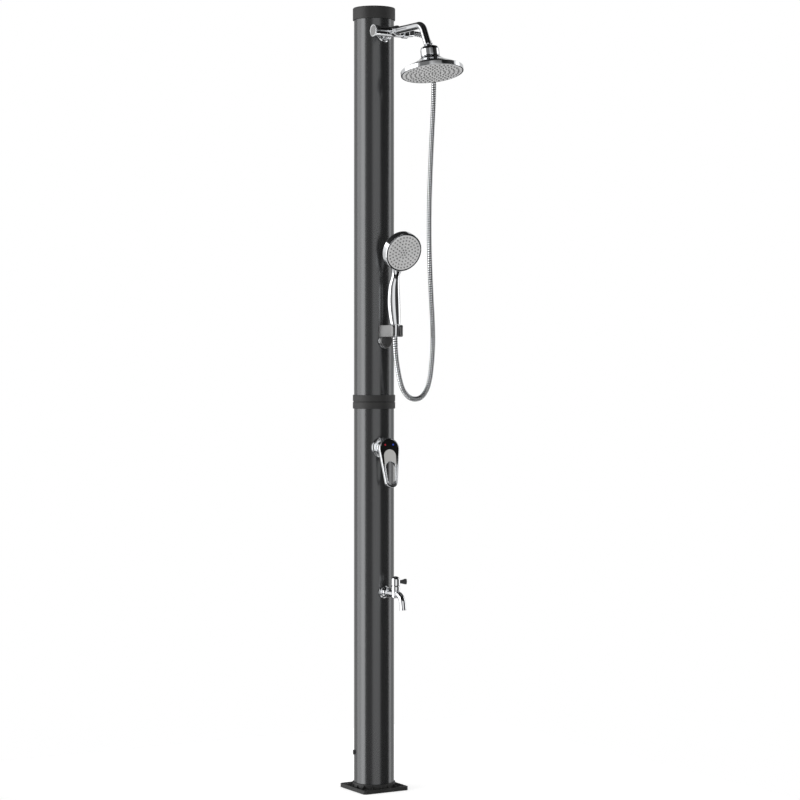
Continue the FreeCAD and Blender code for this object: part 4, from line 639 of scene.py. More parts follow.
def rib_mesh():
    """One rib along +X with a rounded top edge."""
    half = RIB_WALL / 2
    section = [(-half, 0), (half, 0)]
    inner, outer = HUB_R - 2, FOOT_HALF - FOOT_BAND / 2
    bm = bmesh.new()
    rings = []
    for x, top in ((inner, HUB_TOP - 1.5), (outer, FOOT_EDGE - 2.3)):
        low = 1.0
        arc = [(half * math.cos(a), top - half + half * math.sin(a))
               for a in (math.pi * k / 6 for k in range(7))]
        loop = [(section[0][0], low), (section[1][0], low)] + arc
        rings.append([bm.verts.new((x, y, z)) for y, z in loop])
    count = len(rings[0])
    for k in range(count):
        bm.faces.new((rings[0][k], rings[0][(k + 1) % count], rings[1][(k + 1) % count], rings[1][k]))
    bm.faces.new(rings[0])
    bm.faces.new(list(reversed(rings[1])))
    return to_mesh("rib", bm, Matrix.Scale(MM, 4))


def foot():
    scale = Matrix.Scale(MM, 4)
    holes = [circle(BOLT_R, (x, y), 32) for x in (-BOLT_AT, BOLT_AT) for y in (-BOLT_AT, BOLT_AT)]
    pan = slab("pan", [square_outline(FOOT_HALF - 2, FOOT_CORNER - 2), circle(OPENING_R), *holes], 0,
               PAN_TOP, scale, 0.3)
    border = slab(
        "border",
        [square_outline(FOOT_HALF, FOOT_CORNER), square_outline(FOOT_HALF - FOOT_BAND, FOOT_CORNER - 3)],
        0, FOOT_EDGE, scale, 0.9, 4,
    )
    hub = turned("hub", [(POST_R + OVER_POST, 1), (HUB_R + 1.2, 1), (HUB_R, HUB_TOP, 0.9),
                         (POST_R + OVER_POST, HUB_TOP)],
                 scale, 0.4, 96, 4)
    bosses = [
        turned("boss", [(BOLT_R, 0.2), (BOSS_R, 0.2), (BOSS_R - 0.3, FOOT_EDGE - 0.6),
                        (BOLT_R, FOOT_EDGE - 0.6)],
               Matrix.Translation((x * MM, y * MM, 0)) @ scale, 0.6, 32)
        for x in (-BOLT_AT, BOLT_AT) for y in (-BOLT_AT, BOLT_AT)
    ]
    ribs = run_tree("ribs", rib_mesh(), rib_circle(), {
        "Count": RIBS, "Border": (FOOT_HALF - FOOT_BAND / 2) * MM, "Moved Beyond": (HUB_R + 3) * MM,
        "Finish": BLACK,
    })
    mesh = joined("base_plate_skin", pan, border, hub, *bosses, ribs)
    finish_piece("base_plate_skin", mesh, "base_plate", BLACK)


foot()
print("foot with", RIBS, "ribs")

# %% [markdown]
# ## Drain and inlet
# Low on the left a slotted plug drains the post for the winter, and on the back a threaded spigot takes a
# garden hose. The spigot's thread is a row of turned ridges: from a step away a helix and a row of rings
# look the same, and rings keep the mesh light.

# %% Drain plug and inlet spigot
def seated(mesh, along, gap=0.0):
    """Moves what lies inside the post out along a direction, so that a piece sits on it as a saddle."""
    limit = (POST_R + gap) * MM
    along = Vector(along).normalized()
    for vertex in mesh.vertices:
        flat = vertex.co.xy
        if flat.length < limit - 1e-7:
            ahead = flat.dot(along.xy)
            vertex.co += along * (math.sqrt(ahead ** 2 - flat.length_squared + limit ** 2) - ahead)
    return mesh


DRAIN_Z = 102.0
DRAIN_ALONG = Matrix.Rotation(math.radians(-16), 3, "Z") @ Vector((-1, 0, 0))
INLET_Z = 150.0


def drain():
    head, face, slot_half, slot_deep = 6.5, 58.4, 0.8, 1.6
    profile = [(0, face - slot_deep), (0, 50), (head, 50), (head, face, 0.8), (5.0, face, 0.3),
               (4.6, face - slot_deep, 0.2)]
    bm = bmesh.new()
    spin(bm, rounded(profile, 0.5), 48)
    bar = bmesh.ops.create_cube(bm, size=1)["verts"]
    bmesh.ops.scale(bm, vec=(9.6, 2 * slot_half + 0.6, slot_deep), verts=bar)
    bmesh.ops.translate(bm, vec=(0, 0, face - slot_deep / 2 - 0.1), verts=bar)
    mesh = to_mesh("drain_plug_skin", bm, place((0, 0, DRAIN_Z), DRAIN_ALONG))
    finish_piece("drain_plug_skin", seated(mesh, DRAIN_ALONG, 1.0), "drain_plug", BLACK)


def spigot():
    thread_start, tip, ridge_r, root_r, pitch = 63.0, 77.0, 13.2, 12.2, 1.8
    profile = [(8, 45), (19, 45), (19, 59.5, 1.0), (15, 61), (root_r, 61)]
    ridges = int((tip - thread_start - 1) / pitch)
    for k in range(ridges):
        low = thread_start + k * pitch
        profile += [(root_r, low, 0.1), (ridge_r, low + pitch * 0.4, 0.15),
                    (ridge_r, low + pitch * 0.6, 0.15)]
    profile += [(root_r, tip - 1), (root_r, tip, 0.4), (10.6, tip, 0.3), (10.6, tip - 2), (8, tip - 2)]
    mesh = turned("inlet_spigot_skin", profile, place((0, 0, INLET_Z), (0, 1, 0)), 0.3, 64, 2)
    finish_piece("inlet_spigot_skin", seated(mesh, (0, 1, 0)), "inlet_spigot", BRASS)


drain()
spigot()
print("drain at", DRAIN_Z, "and inlet at", INLET_Z, "mm")

# %% [markdown]
# ## Mixer
# A round flange hides the hole in the tube, a short barrel holds the cartridge, and a dome nut holds a ball
# that carries the lever. All are turned. The lever is a long loop with a raised rim round its outside and
# round its window, and a channel between the two. Both outlines are the same kind of curve, a large round
# and a small round with straight sides, so the loop is lofted: rings of points step from the outer rim over
# the channel to the window and back.

# %% Mixer body
MIXER_Z = 939.0
MIXER_TURN = math.radians(-8)
MIXER_FRONT = Vector((math.sin(MIXER_TURN), -math.cos(MIXER_TURN), 0))
FLANGE_OUT = 62.0
BODY_OUT = 88.0
PIVOT_OUT = BODY_OUT + 8.0
GASKET = 1.0


def flange(node, height, along, radius, out, hole):
    """A rosette with a rolled rim and a shallow step up to its face, seated on the post."""
    profile = [(hole, 44), (radius, 44), (radius, out - 3.6, 1.4), (radius - 2.8, out - 1.2, 1.2),
               (radius - 4.6, out - 1.0, 0.6), (radius - 5.4, out, 0.5), (hole, out)]
    mesh = turned(f"{node}_skin", profile, place((0, 0, height), along), 0.4, 96, 5)
    finish_piece(f"{node}_skin", seated(mesh, along, GASKET), node, CHROME)


def mixer():
    at = place((0, 0, MIXER_Z), MIXER_FRONT)
    flange("mixer_flange", MIXER_Z, MIXER_FRONT, 28.0, FLANGE_OUT, 10.7)
    body = [(6, 38), (10.5, 38), (10.5, FLANGE_OUT - 0.5), (20, FLANGE_OUT), (20, BODY_OUT - 0.2, 0.5),
            (17, BODY_OUT - 0.2), (17, 64), (6, 64)]
    turned_piece("mixer_body", body, at, CHROME, 0.5, 96)
    dome = [(11.2, 0), (20, 0), (19.9, 0.6, 0.4), (16.8, 2.7, 3), (12.8, 4.5), (11.0, 4.5, 0.3), (11.2, 2.5)]
    dome = [(corner[0], BODY_OUT + corner[1], *corner[2:]) for corner in dome]
    turned_piece("mixer_cover", dome, at, CHROME, 0.3, 96, 5)
    ball = [(0, PIVOT_OUT - 11)]
    ball += [(11 * math.sin(math.pi * k / 24), PIVOT_OUT - 11 * math.cos(math.pi * k / 24))
             for k in range(1, 24)]
    ball += [(0, PIVOT_OUT + 11)]
    bm = bmesh.new()
    spin(bm, ball, 64)
    spin(bm, [(0, 65), (5, 65), (5, PIVOT_OUT), (0, PIVOT_OUT)], 32)
    finish_piece("mixer_spindle_skin", to_mesh("mixer_spindle_skin", bm, at), "mixer_spindle", CHROME)


mixer()
print("mixer flange, body, cover and ball")


# %% Lever
LEVER_BACK = PIVOT_OUT + 6.5
LEVER_LEAN = math.radians(-11)
hub = Matrix.Translation((0, -PIVOT_OUT * MM, 0))
LEVER_AT = (Matrix.Translation((0, 0, MIXER_Z * MM)) @ Matrix.Rotation(MIXER_TURN, 4, "Z") @ hub
            @ Matrix.Rotation(LEVER_LEAN, 4, "X") @ hub.inverted() @ place((0, -LEVER_BACK, 0), (0, -1, 0)))
OUTER_LOOP = (29.0, -4.0, 18.0, -92.5)
WINDOW_LOOP = (14.0, -53.5, 11.0, -88.5)
TONGUE_LOOP = (17.5, -23.5)
LOOP_SIDES = 96


def loop_outline(loop, inset=0.0, sides=LOOP_SIDES):
    """The two-round outline, made smaller by the inset, with points spread evenly by angle on each round."""
    top_r, top_up, end_r, end_up = loop
    top_r, end_r = top_r - inset, end_r - inset
    slope = math.asin((top_r - end_r) / (top_up - end_up))
    half = sides // 2
    top = [-slope + (math.pi + 2 * slope) * k / (half - 1) for k in range(half)]
    end = [math.pi + slope + (math.pi - 2 * slope) * k / (half - 1) for k in range(half)]
    points = [Vector((top_r * math.cos(a), top_up + top_r * math.sin(a))) for a in top]
    return points + [Vector((end_r * math.cos(a), end_up + end_r * math.sin(a))) for a in end]


def loop_loft(name, rings, matrix):
    """A closed band through rings of (outline, height)."""
    bm = bmesh.new()
    made = [[bm.verts.new((p.x, p.y, z)) for p in outline] for outline, z in rings]
    for ring, after in zip(made, made[1:] + made[:1]):
        for k in range(len(ring)):
            bm.faces.new((ring[k], ring[(k + 1) % len(ring)], after[(k + 1) % len(ring)], after[k]))
    return to_mesh(name, bm, matrix)


def lever_loop():
    def outer(inset, z):
        return loop_outline(OUTER_LOOP, inset), z

    def window(grow, z):
        return loop_outline(WINDOW_LOOP, -grow), z

    rings = [outer(1.2, 0), outer(0.35, 0.25), outer(0, 1.1), outer(0, 8.0), outer(0.3, 9.2), outer(1.0, 9.9),
             outer(1.7, 10.0), outer(2.4, 9.7), outer(2.8, 9.0), outer(3.0, 8.1), outer(3.3, 7.8),
             window(3.4, 7.8), window(3.0, 8.1), window(2.8, 9.0), window(2.3, 9.7), window(1.6, 10.0),
             window(0.9, 9.8), window(0.25, 9.1), window(0, 8.2), window(0, 1.1), window(0.35, 0.25),
             window(1.1, 0)]
    finish_piece("lever_frame_skin", loop_loft("lever_frame_skin", rings, LEVER_AT), "lever_frame", CHROME,
                 sharp=50)


def tongue_cut(outline_side):
    """The inset's outline: round the top of the lever inside its rim, and down both sides of the pale pad."""
    outer = loop_outline(OUTER_LOOP, 3.3)
    half = LOOP_SIDES // 2
    top = outer[:half]
    low_left = Vector((-outline_side - 3.2, -47))
    low_right = Vector((outline_side + 3.2, -47))
    pad_top = [Vector((TONGUE_LOOP[0] * math.cos(a), TONGUE_LOOP[1] + TONGUE_LOOP[0] * math.sin(a)))
               for a in (math.pi - math.pi * k / 32 for k in range(33))]
    return [*top, low_left, Vector((-outline_side, -47)), *pad_top, Vector((outline_side, -47)), low_right]


def lever_dress():
    inset = slab("lever_inset_skin", [tongue_cut(16.9)], 7.7, 9.5, LEVER_AT, 0.3)
    finish_piece("lever_inset_skin", inset, "lever_inset", GLOSS)
    pad_top = [Vector((17.2 * math.cos(a), TONGUE_LOOP[1] + 17.2 * math.sin(a)))
               for a in (math.pi * k / 40 for k in range(41))]
    arch_r, arch_up = WINDOW_LOOP[0] + 1.0, WINDOW_LOOP[1]
    arch = [Vector((arch_r * math.cos(a), arch_up + arch_r * math.sin(a)))
            for a in (math.pi - math.pi * k / 30 for k in range(31))]
    pad = slab("lever_pad", [[*pad_top, Vector((-17.0, -49)), *arch, Vector((17.0, -49))]], 7.7, 10.1,
               LEVER_AT, 0.5)
    finish_piece("lever_pad", pad, "lever_frame", PAD, replaced=())
    for node, side, finish in (("hot_mark", -1, RED), ("cold_mark", 1, BLUE)):
        dot = [(0, 9.3), (2.4, 9.3), (2.4, 9.8, 0.2), (0, 10.0)]
        at = LEVER_AT @ Matrix.Translation((side * 11.5, 6.5, 0))
        turned_piece(node, dot, at, finish, 0.1, 32)


lever_loop()
lever_dress()
print("lever loop, inset, pad and marks")

# %% [markdown]
# ## Diverter and arm
# The diverter is a short stem with a barrel across it. Its knob widens towards a flat end disc on the left,
# the hose leaves on the right, and the arm of the overhead shower leaves to the front. Stem, barrel and
# outlets are turned bars that run into each other, as on the casting. The arm is one pipe with one bend, so
# it is swept.

# %% Diverter
DIVERTER_Z = 2067.0
DIVERTER_OUT = 97.0
ARM_START = 118.5
FRONT = Vector((0, -1, 0))


def diverter():
    flange("diverter_flange", DIVERTER_Z, FRONT, 23.0, FLANGE_OUT, 10.7)
    forward = place((0, 0, DIVERTER_Z), FRONT)
    sideways = place((0, -DIVERTER_OUT, DIVERTER_Z), (1, 0, 0))
    stem = [(6, 38), (10.5, 38), (10.5, 61.5), (14.5, 61.5, 0.6), (14.5, 65, 1.2), (11.5, 67, 1.5),
            (11.5, 98), (6, 98)]
    barrel = [(0, -20), (13.6, -20, 0.7), (13.6, 30, 1.2), (10.4, 31.5, 0.5), (10.4, 44), (0, 44)]
    outlet = [(0, DIVERTER_OUT), (10.4, DIVERTER_OUT), (10.4, ARM_START - 0.2), (0, ARM_START - 0.2)]
    mesh = joined(
        "diverter_body_skin",
        turned("stem", stem, forward, 0.4, 64),
        turned("barrel", barrel, sideways, 0.4, 80),
        turned("outlet", outlet, forward, 0.4, 48),
    )
    finish_piece("diverter_body_skin", mesh, "diverter_body", CHROME)


def knob():
    at = place((0, -DIVERTER_OUT, DIVERTER_Z), (-1, 0, 0))
    profile = [(7.2, 20.3), (13.4, 20.3), (13.4, 22), (13.5, 30, 6), (14.3, 42, 10), (15.8, 55.5, 0.8),
               (16.6, 56.6, 0.4),
               (16.6, 59, 0.7), (14.8, 59, 0.25), (14.4, 58.5, 0.25), (0, 58.3), (0, 32), (7.2, 32)]
    turned_piece("diverter_knob", profile, at, PLATED, 0.4, 96, 5)
    inlay = [(0, 58.0), (13.9, 58.0), (13.9, 58.7, 0.2), (0, 58.8)]
    finish_piece("knob_inlay", turned("knob_inlay", inlay, at, 0.2, 64), "diverter_knob", SATIN, replaced=())


diverter()
knob()
print("diverter flange, body and knob")

# %% Arm, its nut and the ball
ARM_R = 10.0
ARM_BEND = 30.0
ARM_CORNER = Vector((0, -256, DIVERTER_Z))
ARM_DOWN = Vector((0, -math.cos(math.radians(62)), -math.sin(math.radians(62))))
BALL = ARM_CORNER + ARM_DOWN * 85.2


def arm():
    line = bent_line([(0, -ARM_START, DIVERTER_Z), ARM_CORNER, BALL - ARM_DOWN * 21], ARM_BEND, 1.6)
    bm = bmesh.new()
    sweep(bm, line, [ARM_R] * len(line), 48)
    finish_piece("shower_arm_skin", to_mesh("shower_arm_skin", bm, Matrix.Scale(MM, 4)), "shower_arm", CHROME)
    nut = [(10.6, 111.3), (14.2, 111.3, 0.8), (14.2, 126.5, 1.6), (12.3, 129.3, 0.6), (10.15, 129.3),
           (10.15, 119), (10.6, 119)]
    turned_piece("arm_nut", nut, place((0, 0, DIVERTER_Z), FRONT), CHROME, 0.4, 64, 4)
    ball = [(13 * math.sin(math.pi * k / 24), 13 * math.cos(math.pi * k / 24)) for k in range(24)]
    ball = [(0, -13)] + [(r, -z) for r, z in ball[1:20]] + [(7, 11), (7, 20.8, 0.4), (0, 20.8)]
    turned_piece("arm_ball", ball, place(BALL, -ARM_DOWN), CHROME, 0.0, 64)


arm()
print("arm, nut and ball; ball centre", tuple(round(c, 1) for c in BALL))

# %% [markdown]
# ## Spray faces
# A spray face is a plate with a soft nozzle in each hole. There are well over a hundred, all alike, on
# rings, so the points of the rings are worked out and Geometry Nodes stands one small nozzle on each point.
# A nozzle is a short cone with a rounded shoulder of a few faces. The tree ends in Realize Instances and
# Set Material.

# %% Nozzles on rings
def nozzle_tree():
    tree, start, end = node_tree("spray nozzles", {
        "Length": ("NodeSocketFloat", 0.003), "Root Radius": ("NodeSocketFloat", 0.002),
        "Tip Radius": ("NodeSocketFloat", 0.001), "Finish": ("NodeSocketMaterial", None),
    })
    cone = add(tree, "GeometryNodeMeshCone", Vertices=14)
    tree.links.new(start.outputs["Root Radius"], cone.inputs["Radius Bottom"])
    tree.links.new(start.outputs["Tip Radius"], cone.inputs["Radius Top"])
    tree.links.new(start.outputs["Length"], cone.inputs["Depth"])
    collar = add(tree, "GeometryNodeMeshCylinder", Vertices=14)
    tree.links.new(math_node(tree, "MULTIPLY", start.outputs["Root Radius"], 1.35), collar.inputs["Radius"])
    tree.links.new(math_node(tree, "MULTIPLY", start.outputs["Length"], 0.3), collar.inputs["Depth"])
    both = tree.nodes.new("GeometryNodeJoinGeometry")
    tree.links.new(cone.outputs["Mesh"], both.inputs["Geometry"])
    tree.links.new(collar.outputs["Mesh"], both.inputs["Geometry"])
    copies = tree.nodes.new("GeometryNodeInstanceOnPoints")
    real = tree.nodes.new("GeometryNodeRealizeInstances")
    dressed = tree.nodes.new("GeometryNodeSetMaterial")
    tree.links.new(start.outputs["Geometry"], copies.inputs["Points"])
    tree.links.new(both.outputs["Geometry"], copies.inputs["Instance"])
    tree.links.new(copies.outputs["Instances"], real.inputs["Geometry"])
    tree.links.new(real.outputs["Geometry"], dressed.inputs["Geometry"])
    tree.links.new(start.outputs["Finish"], dressed.inputs["Material"])
    tree.links.new(dressed.outputs["Geometry"], end.inputs["Geometry"])
    return tree


NOZZLE_TREE = nozzle_tree()


def ring_spots(rings):
    """The middle, and points spread evenly on (radius, count) rings, every other one turned by half a step."""
    spots = [(0.0, 0.0)]
    for number, (radius, count) in enumerate(rings):
        for k in range(count):
            a = 2 * math.pi * (k + 0.5 * (number % 2)) / count
            spots.append((radius * math.cos(a), radius * math.sin(a)))
    return spots


def nozzles(node, rings, matrix, mat_radius, root, tip, length):
    """The nozzles of one face and the mat behind it. The mesh is made flat, then placed."""
    points = bpy.data.meshes.new("spots")
    points.from_pydata([(x * MM, y * MM, 0) for x, y in ring_spots(rings)], [], [])
    made = run_tree(f"{node}_skin", points, NOZZLE_TREE, {
        "Length": length * MM, "Root Radius": root * MM, "Tip Radius": tip * MM, "Finish": NOZZLE,
    })
    made.transform(matrix @ Matrix.Scale(1 / MM, 4))
    mat = [(0, -3.9), (mat_radius, -3.9), (mat_radius, -2.8), (0, -2.8)]
    mesh = joined(f"{node}_skin", made, turned("mat", mat, matrix, 0.2, 64))
    finish_piece(f"{node}_skin", mesh, node, NOZZLE)
    print(node, "has", len(ring_spots(rings)), "nozzles")


def spray_plate(node, radius, matrix, dish, ridges):
    """The face plate: a flat disc whose rings of nozzles stand between shallow turned ridges."""
    profile = [(0, -2.6), (radius, -2.6), (radius, -0.5, 0.4), (radius - 2.2, 0, 0.8),
               (radius - 3.6, -dish, 0.6)]
    for at in reversed(ridges):
        profile += [(at + 1.6, -dish, 0.5), (at + 0.7, -dish + 0.45, 0.4), (at - 0.7, -dish + 0.45, 0.4),
                    (at - 1.6, -dish, 0.5)]
    profile.append((0, -dish))
    turned_piece(node, profile, matrix, FACE, 0.3, 96, 3)


# %% [markdown]
# ## Overhead shower
# The bell is a low dome over an upright rim, with a large nut on its neck that clamps the ball. It is
# leaned twelve degrees towards the front, as in the photo. Everything on it is turned about its own axis,
# so one matrix places the whole shower.

# %% Overhead shower
HEAD_LEAN = math.radians(12)
HEAD_UP = Vector((0, math.sin(HEAD_LEAN), math.cos(HEAD_LEAN)))
HEAD_R = 83.0
HEAD_FACE = -61.0
HEAD_RINGS = ((10, 6), (22, 12), (34, 18), (46, 24), (58, 30), (70, 36))


def overhead():
    at = place(BALL, HEAD_UP, (0, -1, 0))
    rim_top, foot = HEAD_FACE + 11.0, HEAD_FACE
    shell = [
        (79.4, foot), (HEAD_R, foot, 1.0), (HEAD_R, rim_top, 1.6), (78.6, rim_top + 1.3, 1.6),
        (66, rim_top + 9.0, 30), (50, rim_top + 16.5, 30), (37, rim_top + 23.5, 16), (29, -19.6, 2.0),
        (24.6, -17, 1.0), (24, -14.2, 0.5), (20, -14.2), (20, -6.2), (15.5, -6.2), (15.5, -24),
        (34, rim_top + 17.5, 6), (64, rim_top + 5.5, 30),
        (80.6, rim_top - 3), (80.6, foot + 5.2), (79.4, foot + 5.2),
    ]
    turned_piece("head_shell", shell, at, PLATED, 0.4, 144, 6)
    nut = [(15.8, 5.05), (15.8, 12), (18.5, 12, 0.6), (23.0, 10.0, 4), (25, 3, 3), (25, -13.2, 0.6),
           (24.2, -14, 0.3), (20.2, -14), (20.2, -6.1), (17.1, -6.1), (17.1, 5.05)]
    turned_piece("head_nut", nut, at, PLATED, 0.3, 96, 5)
    face_at = place(BALL + HEAD_UP * HEAD_FACE, -HEAD_UP, (0, 1, 0))
    spray_plate("head_face", 79.1, face_at, 0.4, (16, 28, 40, 52, 64))
    nozzles("head_nozzles", HEAD_RINGS, face_at, 76, 1.9, 1.1, 3.0)


overhead()
print("overhead shower", 2 * HEAD_R, "mm across")

# %% [markdown]
# ## Hand shower
# The grip swells in the middle, narrows to a flat neck and spreads into the round head. Ellipses of a few
# measured sections describe it, and a smooth curve through the sections gives the rings between them. The
# head is turned. Both are plated plastic, so grip and head are one piece with the face set into its rim.

# %% Hand shower
HAND_LEAN = math.radians(22)
HAND_FACING = Vector((0, -math.cos(HAND_LEAN), -math.sin(HAND_LEAN)))
HAND = Vector((0, -162, 1466))
HAND_RIM = 20.0
HAND_RINGS = ((8, 6), (16, 10), (25, 16), (34, 22), (43, 28))
# How far out, how high, lean, half width, half depth.
GRIP = (
    (116.0, 1273.5, 0, 14.0, 12.5), (111.5, 1300, 0, 16.8, 14.5), (108.0, 1335, 2, 18.0, 15.0),
    (109.0, 1375, 8, 15.6, 13.0), (117.0, 1405, 16, 11.4, 10.0), (128.0, 1428, 22, 19.0, 9.0),
    (141.0, 1452, 22, 34.0, 7.5),
)


def between(sections, steps):
    """Sections on a smooth curve through the given ones."""
    out = []
    last = len(sections) - 1
    for i in range(last):
        a, b, c, d = (sections[min(max(i + k, 0), last)] for k in (-1, 0, 1, 2))
        for step in range(steps):
            t = step / steps
            out.append([
                0.5 * (2 * q + (r - p) * t + (2 * p - 5 * q + 4 * r - s) * t * t
                       + (3 * q - p - 3 * r + s) * t ** 3)
                for p, q, r, s in zip(a, b, c, d)
            ])
    return out + [list(sections[last])]


def grip_mesh():
    sides = 72
    bm = bmesh.new()
    rings = []
    sections = between(GRIP, 8)
    foot = list(sections[0])
    sections = [[foot[0], foot[1], foot[2], foot[3] - 0.8, foot[4] - 0.8],
                [foot[0], foot[1] + 0.8, *foot[2:]]] + sections[1:]
    for out, height, lean, wide, deep in sections:
        tilt = math.radians(lean)
        ring = []
        for k in range(sides):
            a = 2 * math.pi * k / sides
            x, y = wide * math.cos(a), deep * math.sin(a)
            ring.append(bm.verts.new((x, -out + y * math.cos(tilt), height + y * math.sin(tilt))))
        rings.append(ring)
    for ring, after in zip(rings, rings[1:]):
        for k in range(sides):
            bm.faces.new((ring[k], ring[(k + 1) % sides], after[(k + 1) % sides], after[k]))
    bm.faces.new(list(reversed(rings[0])))
    bm.faces.new(rings[-1])
    return to_mesh("grip", bm, Matrix.Scale(MM, 4))


def handset():
    at = place(HAND, -HAND_FACING, (0, 0, 1))
    back_curve = [(54 * math.cos(a), HAND_RIM + 11 * math.sin(a))
                  for a in (math.pi / 2 * k / 10 for k in range(1, 10))]
    head = [(0, 5.2), (49.2, 5.2), (49.2, 0.3, 0.3), (50.4, 0, 0.4), (53, 0, 1.0), (54, 1.6, 1.0),
            (54, HAND_RIM, 2)]
    head += [(r, z, 6) for r, z in back_curve] + [(0, HAND_RIM + 11)]
    shell = joined("handset_shell_skin", turned("head", head, at, 0.4, 120, 3), grip_mesh())
    finish_piece("handset_shell_skin", shell, "handset_shell", PLATED)
    face_at = place(HAND + HAND_FACING * 0.6, HAND_FACING, (0, 0, 1))
    spray_plate("handset_face", 49.0, face_at, 0.4, (12, 20.5, 29.5, 38.5))
    nozzles("handset_nozzles", HAND_RINGS, face_at, 47, 1.5, 0.9, 2.6)


handset()
print("hand shower head", 108, "mm across")

# %% [markdown]
# ## Cradle
# The cradle is a block whose seat opens to the front, so that the hose can pass as the hand shower is hung
# up. Seen from above it is a letter C, and from the side its nose is rounded. Each outline is drawn once
# and given a height, and the block is what the two share. The round cover that hides the screws is turned.

# %% Cradle and its base
CRADLE_Z = 1240.0
CRADLE_HIGH = 32.0
CRADLE_HALF = 17.0
CRADLE_FRONT = 130.0
CRADLE_AXIS = 116.0
SLOT_HALF = 7.8
COVER_Z = CRADLE_Z - 11.0


def cradle_outline(seat_r):
    """The letter C from above, with its back on the post."""
    reach = math.sqrt((POST_R + OVER_POST) ** 2 - CRADLE_HALF ** 2)
    spread = math.asin(CRADLE_HALF / (POST_R + OVER_POST))
    post_side = circle(POST_R + OVER_POST, (0, 0), 16, -math.pi / 2 - spread, 2 * spread)
    mouth = math.asin(SLOT_HALF / seat_r)
    seat = circle(seat_r, (0, -CRADLE_AXIS), 40, -math.pi / 2 + mouth, 2 * math.pi - 2 * mouth)
    front = -CRADLE_FRONT
    nose = rounded([(CRADLE_HALF, -reach - 5), (CRADLE_HALF, front, 6), (SLOT_HALF, front, 2.0),
                    (SLOT_HALF, seat[0].y)],
                   0, 6, closed=False)
    other = [Vector((-p.x, p.y)) for p in reversed(nose)]
    return [*post_side, *nose, *seat, *other]


def shared_by(name, mesh, other):
    """What two closed meshes have in common."""
    host, tool = bpy.data.objects.new(name, mesh), bpy.data.objects.new("tool", other)
    for obj in (host, tool):
        bpy.context.scene.collection.objects.link(obj)
    step = host.modifiers.new("common", "BOOLEAN")
    step.operation, step.solver, step.object = "INTERSECT", "EXACT", tool
    bpy.context.view_layer.update()
    made = bpy.data.meshes.new_from_object(host.evaluated_get(bpy.context.evaluated_depsgraph_get()))
    for obj in (host, tool):
        bpy.data.objects.remove(obj)
    return made


def cradle():
    seat = cradle_outline(10.8)
    base = Matrix.Translation((0, 0, CRADLE_Z * MM)) @ Matrix.Scale(MM, 4)
    block = slab("block", [seat], 0, CRADLE_HIGH, base, 1.1, 4)
    front, high = -CRADLE_FRONT - 0.2, CRADLE_HIGH + 0.5
    side = rounded([(-40, -0.5), (front, -0.5, 11.5), (front, high, 11.5), (-40, high)], 0, 8)
    loaf = slab("loaf", [side], -30, 30, place((0, 0, CRADLE_Z), (1, 0, 0)), 0.0)
    block = shared_by("block", block, loaf)
    cover = [(0, 60), (19, 60), (19, 68.8, 0.8), (17.2, 70, 0.8), (0, 70)]
    cover = seated(turned("cover", cover, place((0, 0, COVER_Z), FRONT), 0.4, 72, 4), FRONT)
    finish_piece("holder_cradle_skin", joined("holder_cradle_skin", block, cover), "holder_cradle", SATIN)
    ring = [(14, 48), (19.0, 48), (19.6, 55, 0.8), (19.6, 61, 0.8), (19.0, 61.4), (14, 61.4)]
    ring = seated(turned("holder_base_skin", ring, place((0, 0, COVER_Z), FRONT), 0.4, 72, 3), FRONT)
    finish_piece("holder_base_skin", ring, "holder_base", CHROME)


cradle()
print("cradle at", CRADLE_Z, "mm")

# %% [markdown]
# ## Hose
# A shower hose is a steel band wound round and round and hooked into itself, so its surface is a fine
# helix. It is a cord: it leaves the diverter sideways, hangs beside the post, turns below and comes up into
# the conical nut. The route is a list of given points, smoothed by a NURBS spline. Geometry Nodes
# sweeps a circle along it and then moves the surface in and out with the distance along the hose plus the
# angle round it, which is what makes a helix.

# %% Hose
HOSE_R = 7.0
HOSE_PITCH = 6.35
HOSE_ROUTE = (
    (66.0, -97.0, 2067.0), (92.0, -97.0, 2067.0), (114.0, -97.3, 2055.0), (127.0, -97.8, 2031.5),
    (132.0, -98.6, 1995.0), (132.5, -99.8, 1945.0), (129.5, -101.5, 1870.0), (122.0, -103.8, 1770.0),
    (112.5, -107.5, 1610.0), (110.5, -110.5, 1480.0), (115.0, -113.5, 1350.0), (120.5, -116.0, 1240.0),
    (115.0, -116.3, 1158.0), (106.0, -116.4, 1109.0), (92.0, -116.4, 1084.0), (74.0, -116.4, 1071.0),
    (50.0, -116.4, 1071.0), (31.0, -116.4, 1085.0), (17.0, -116.3, 1110.0), (6.0, -116.2, 1160.0),
    (0.0, -116.0, 1205.0), (0.0, -116.0, 1240.0),
)


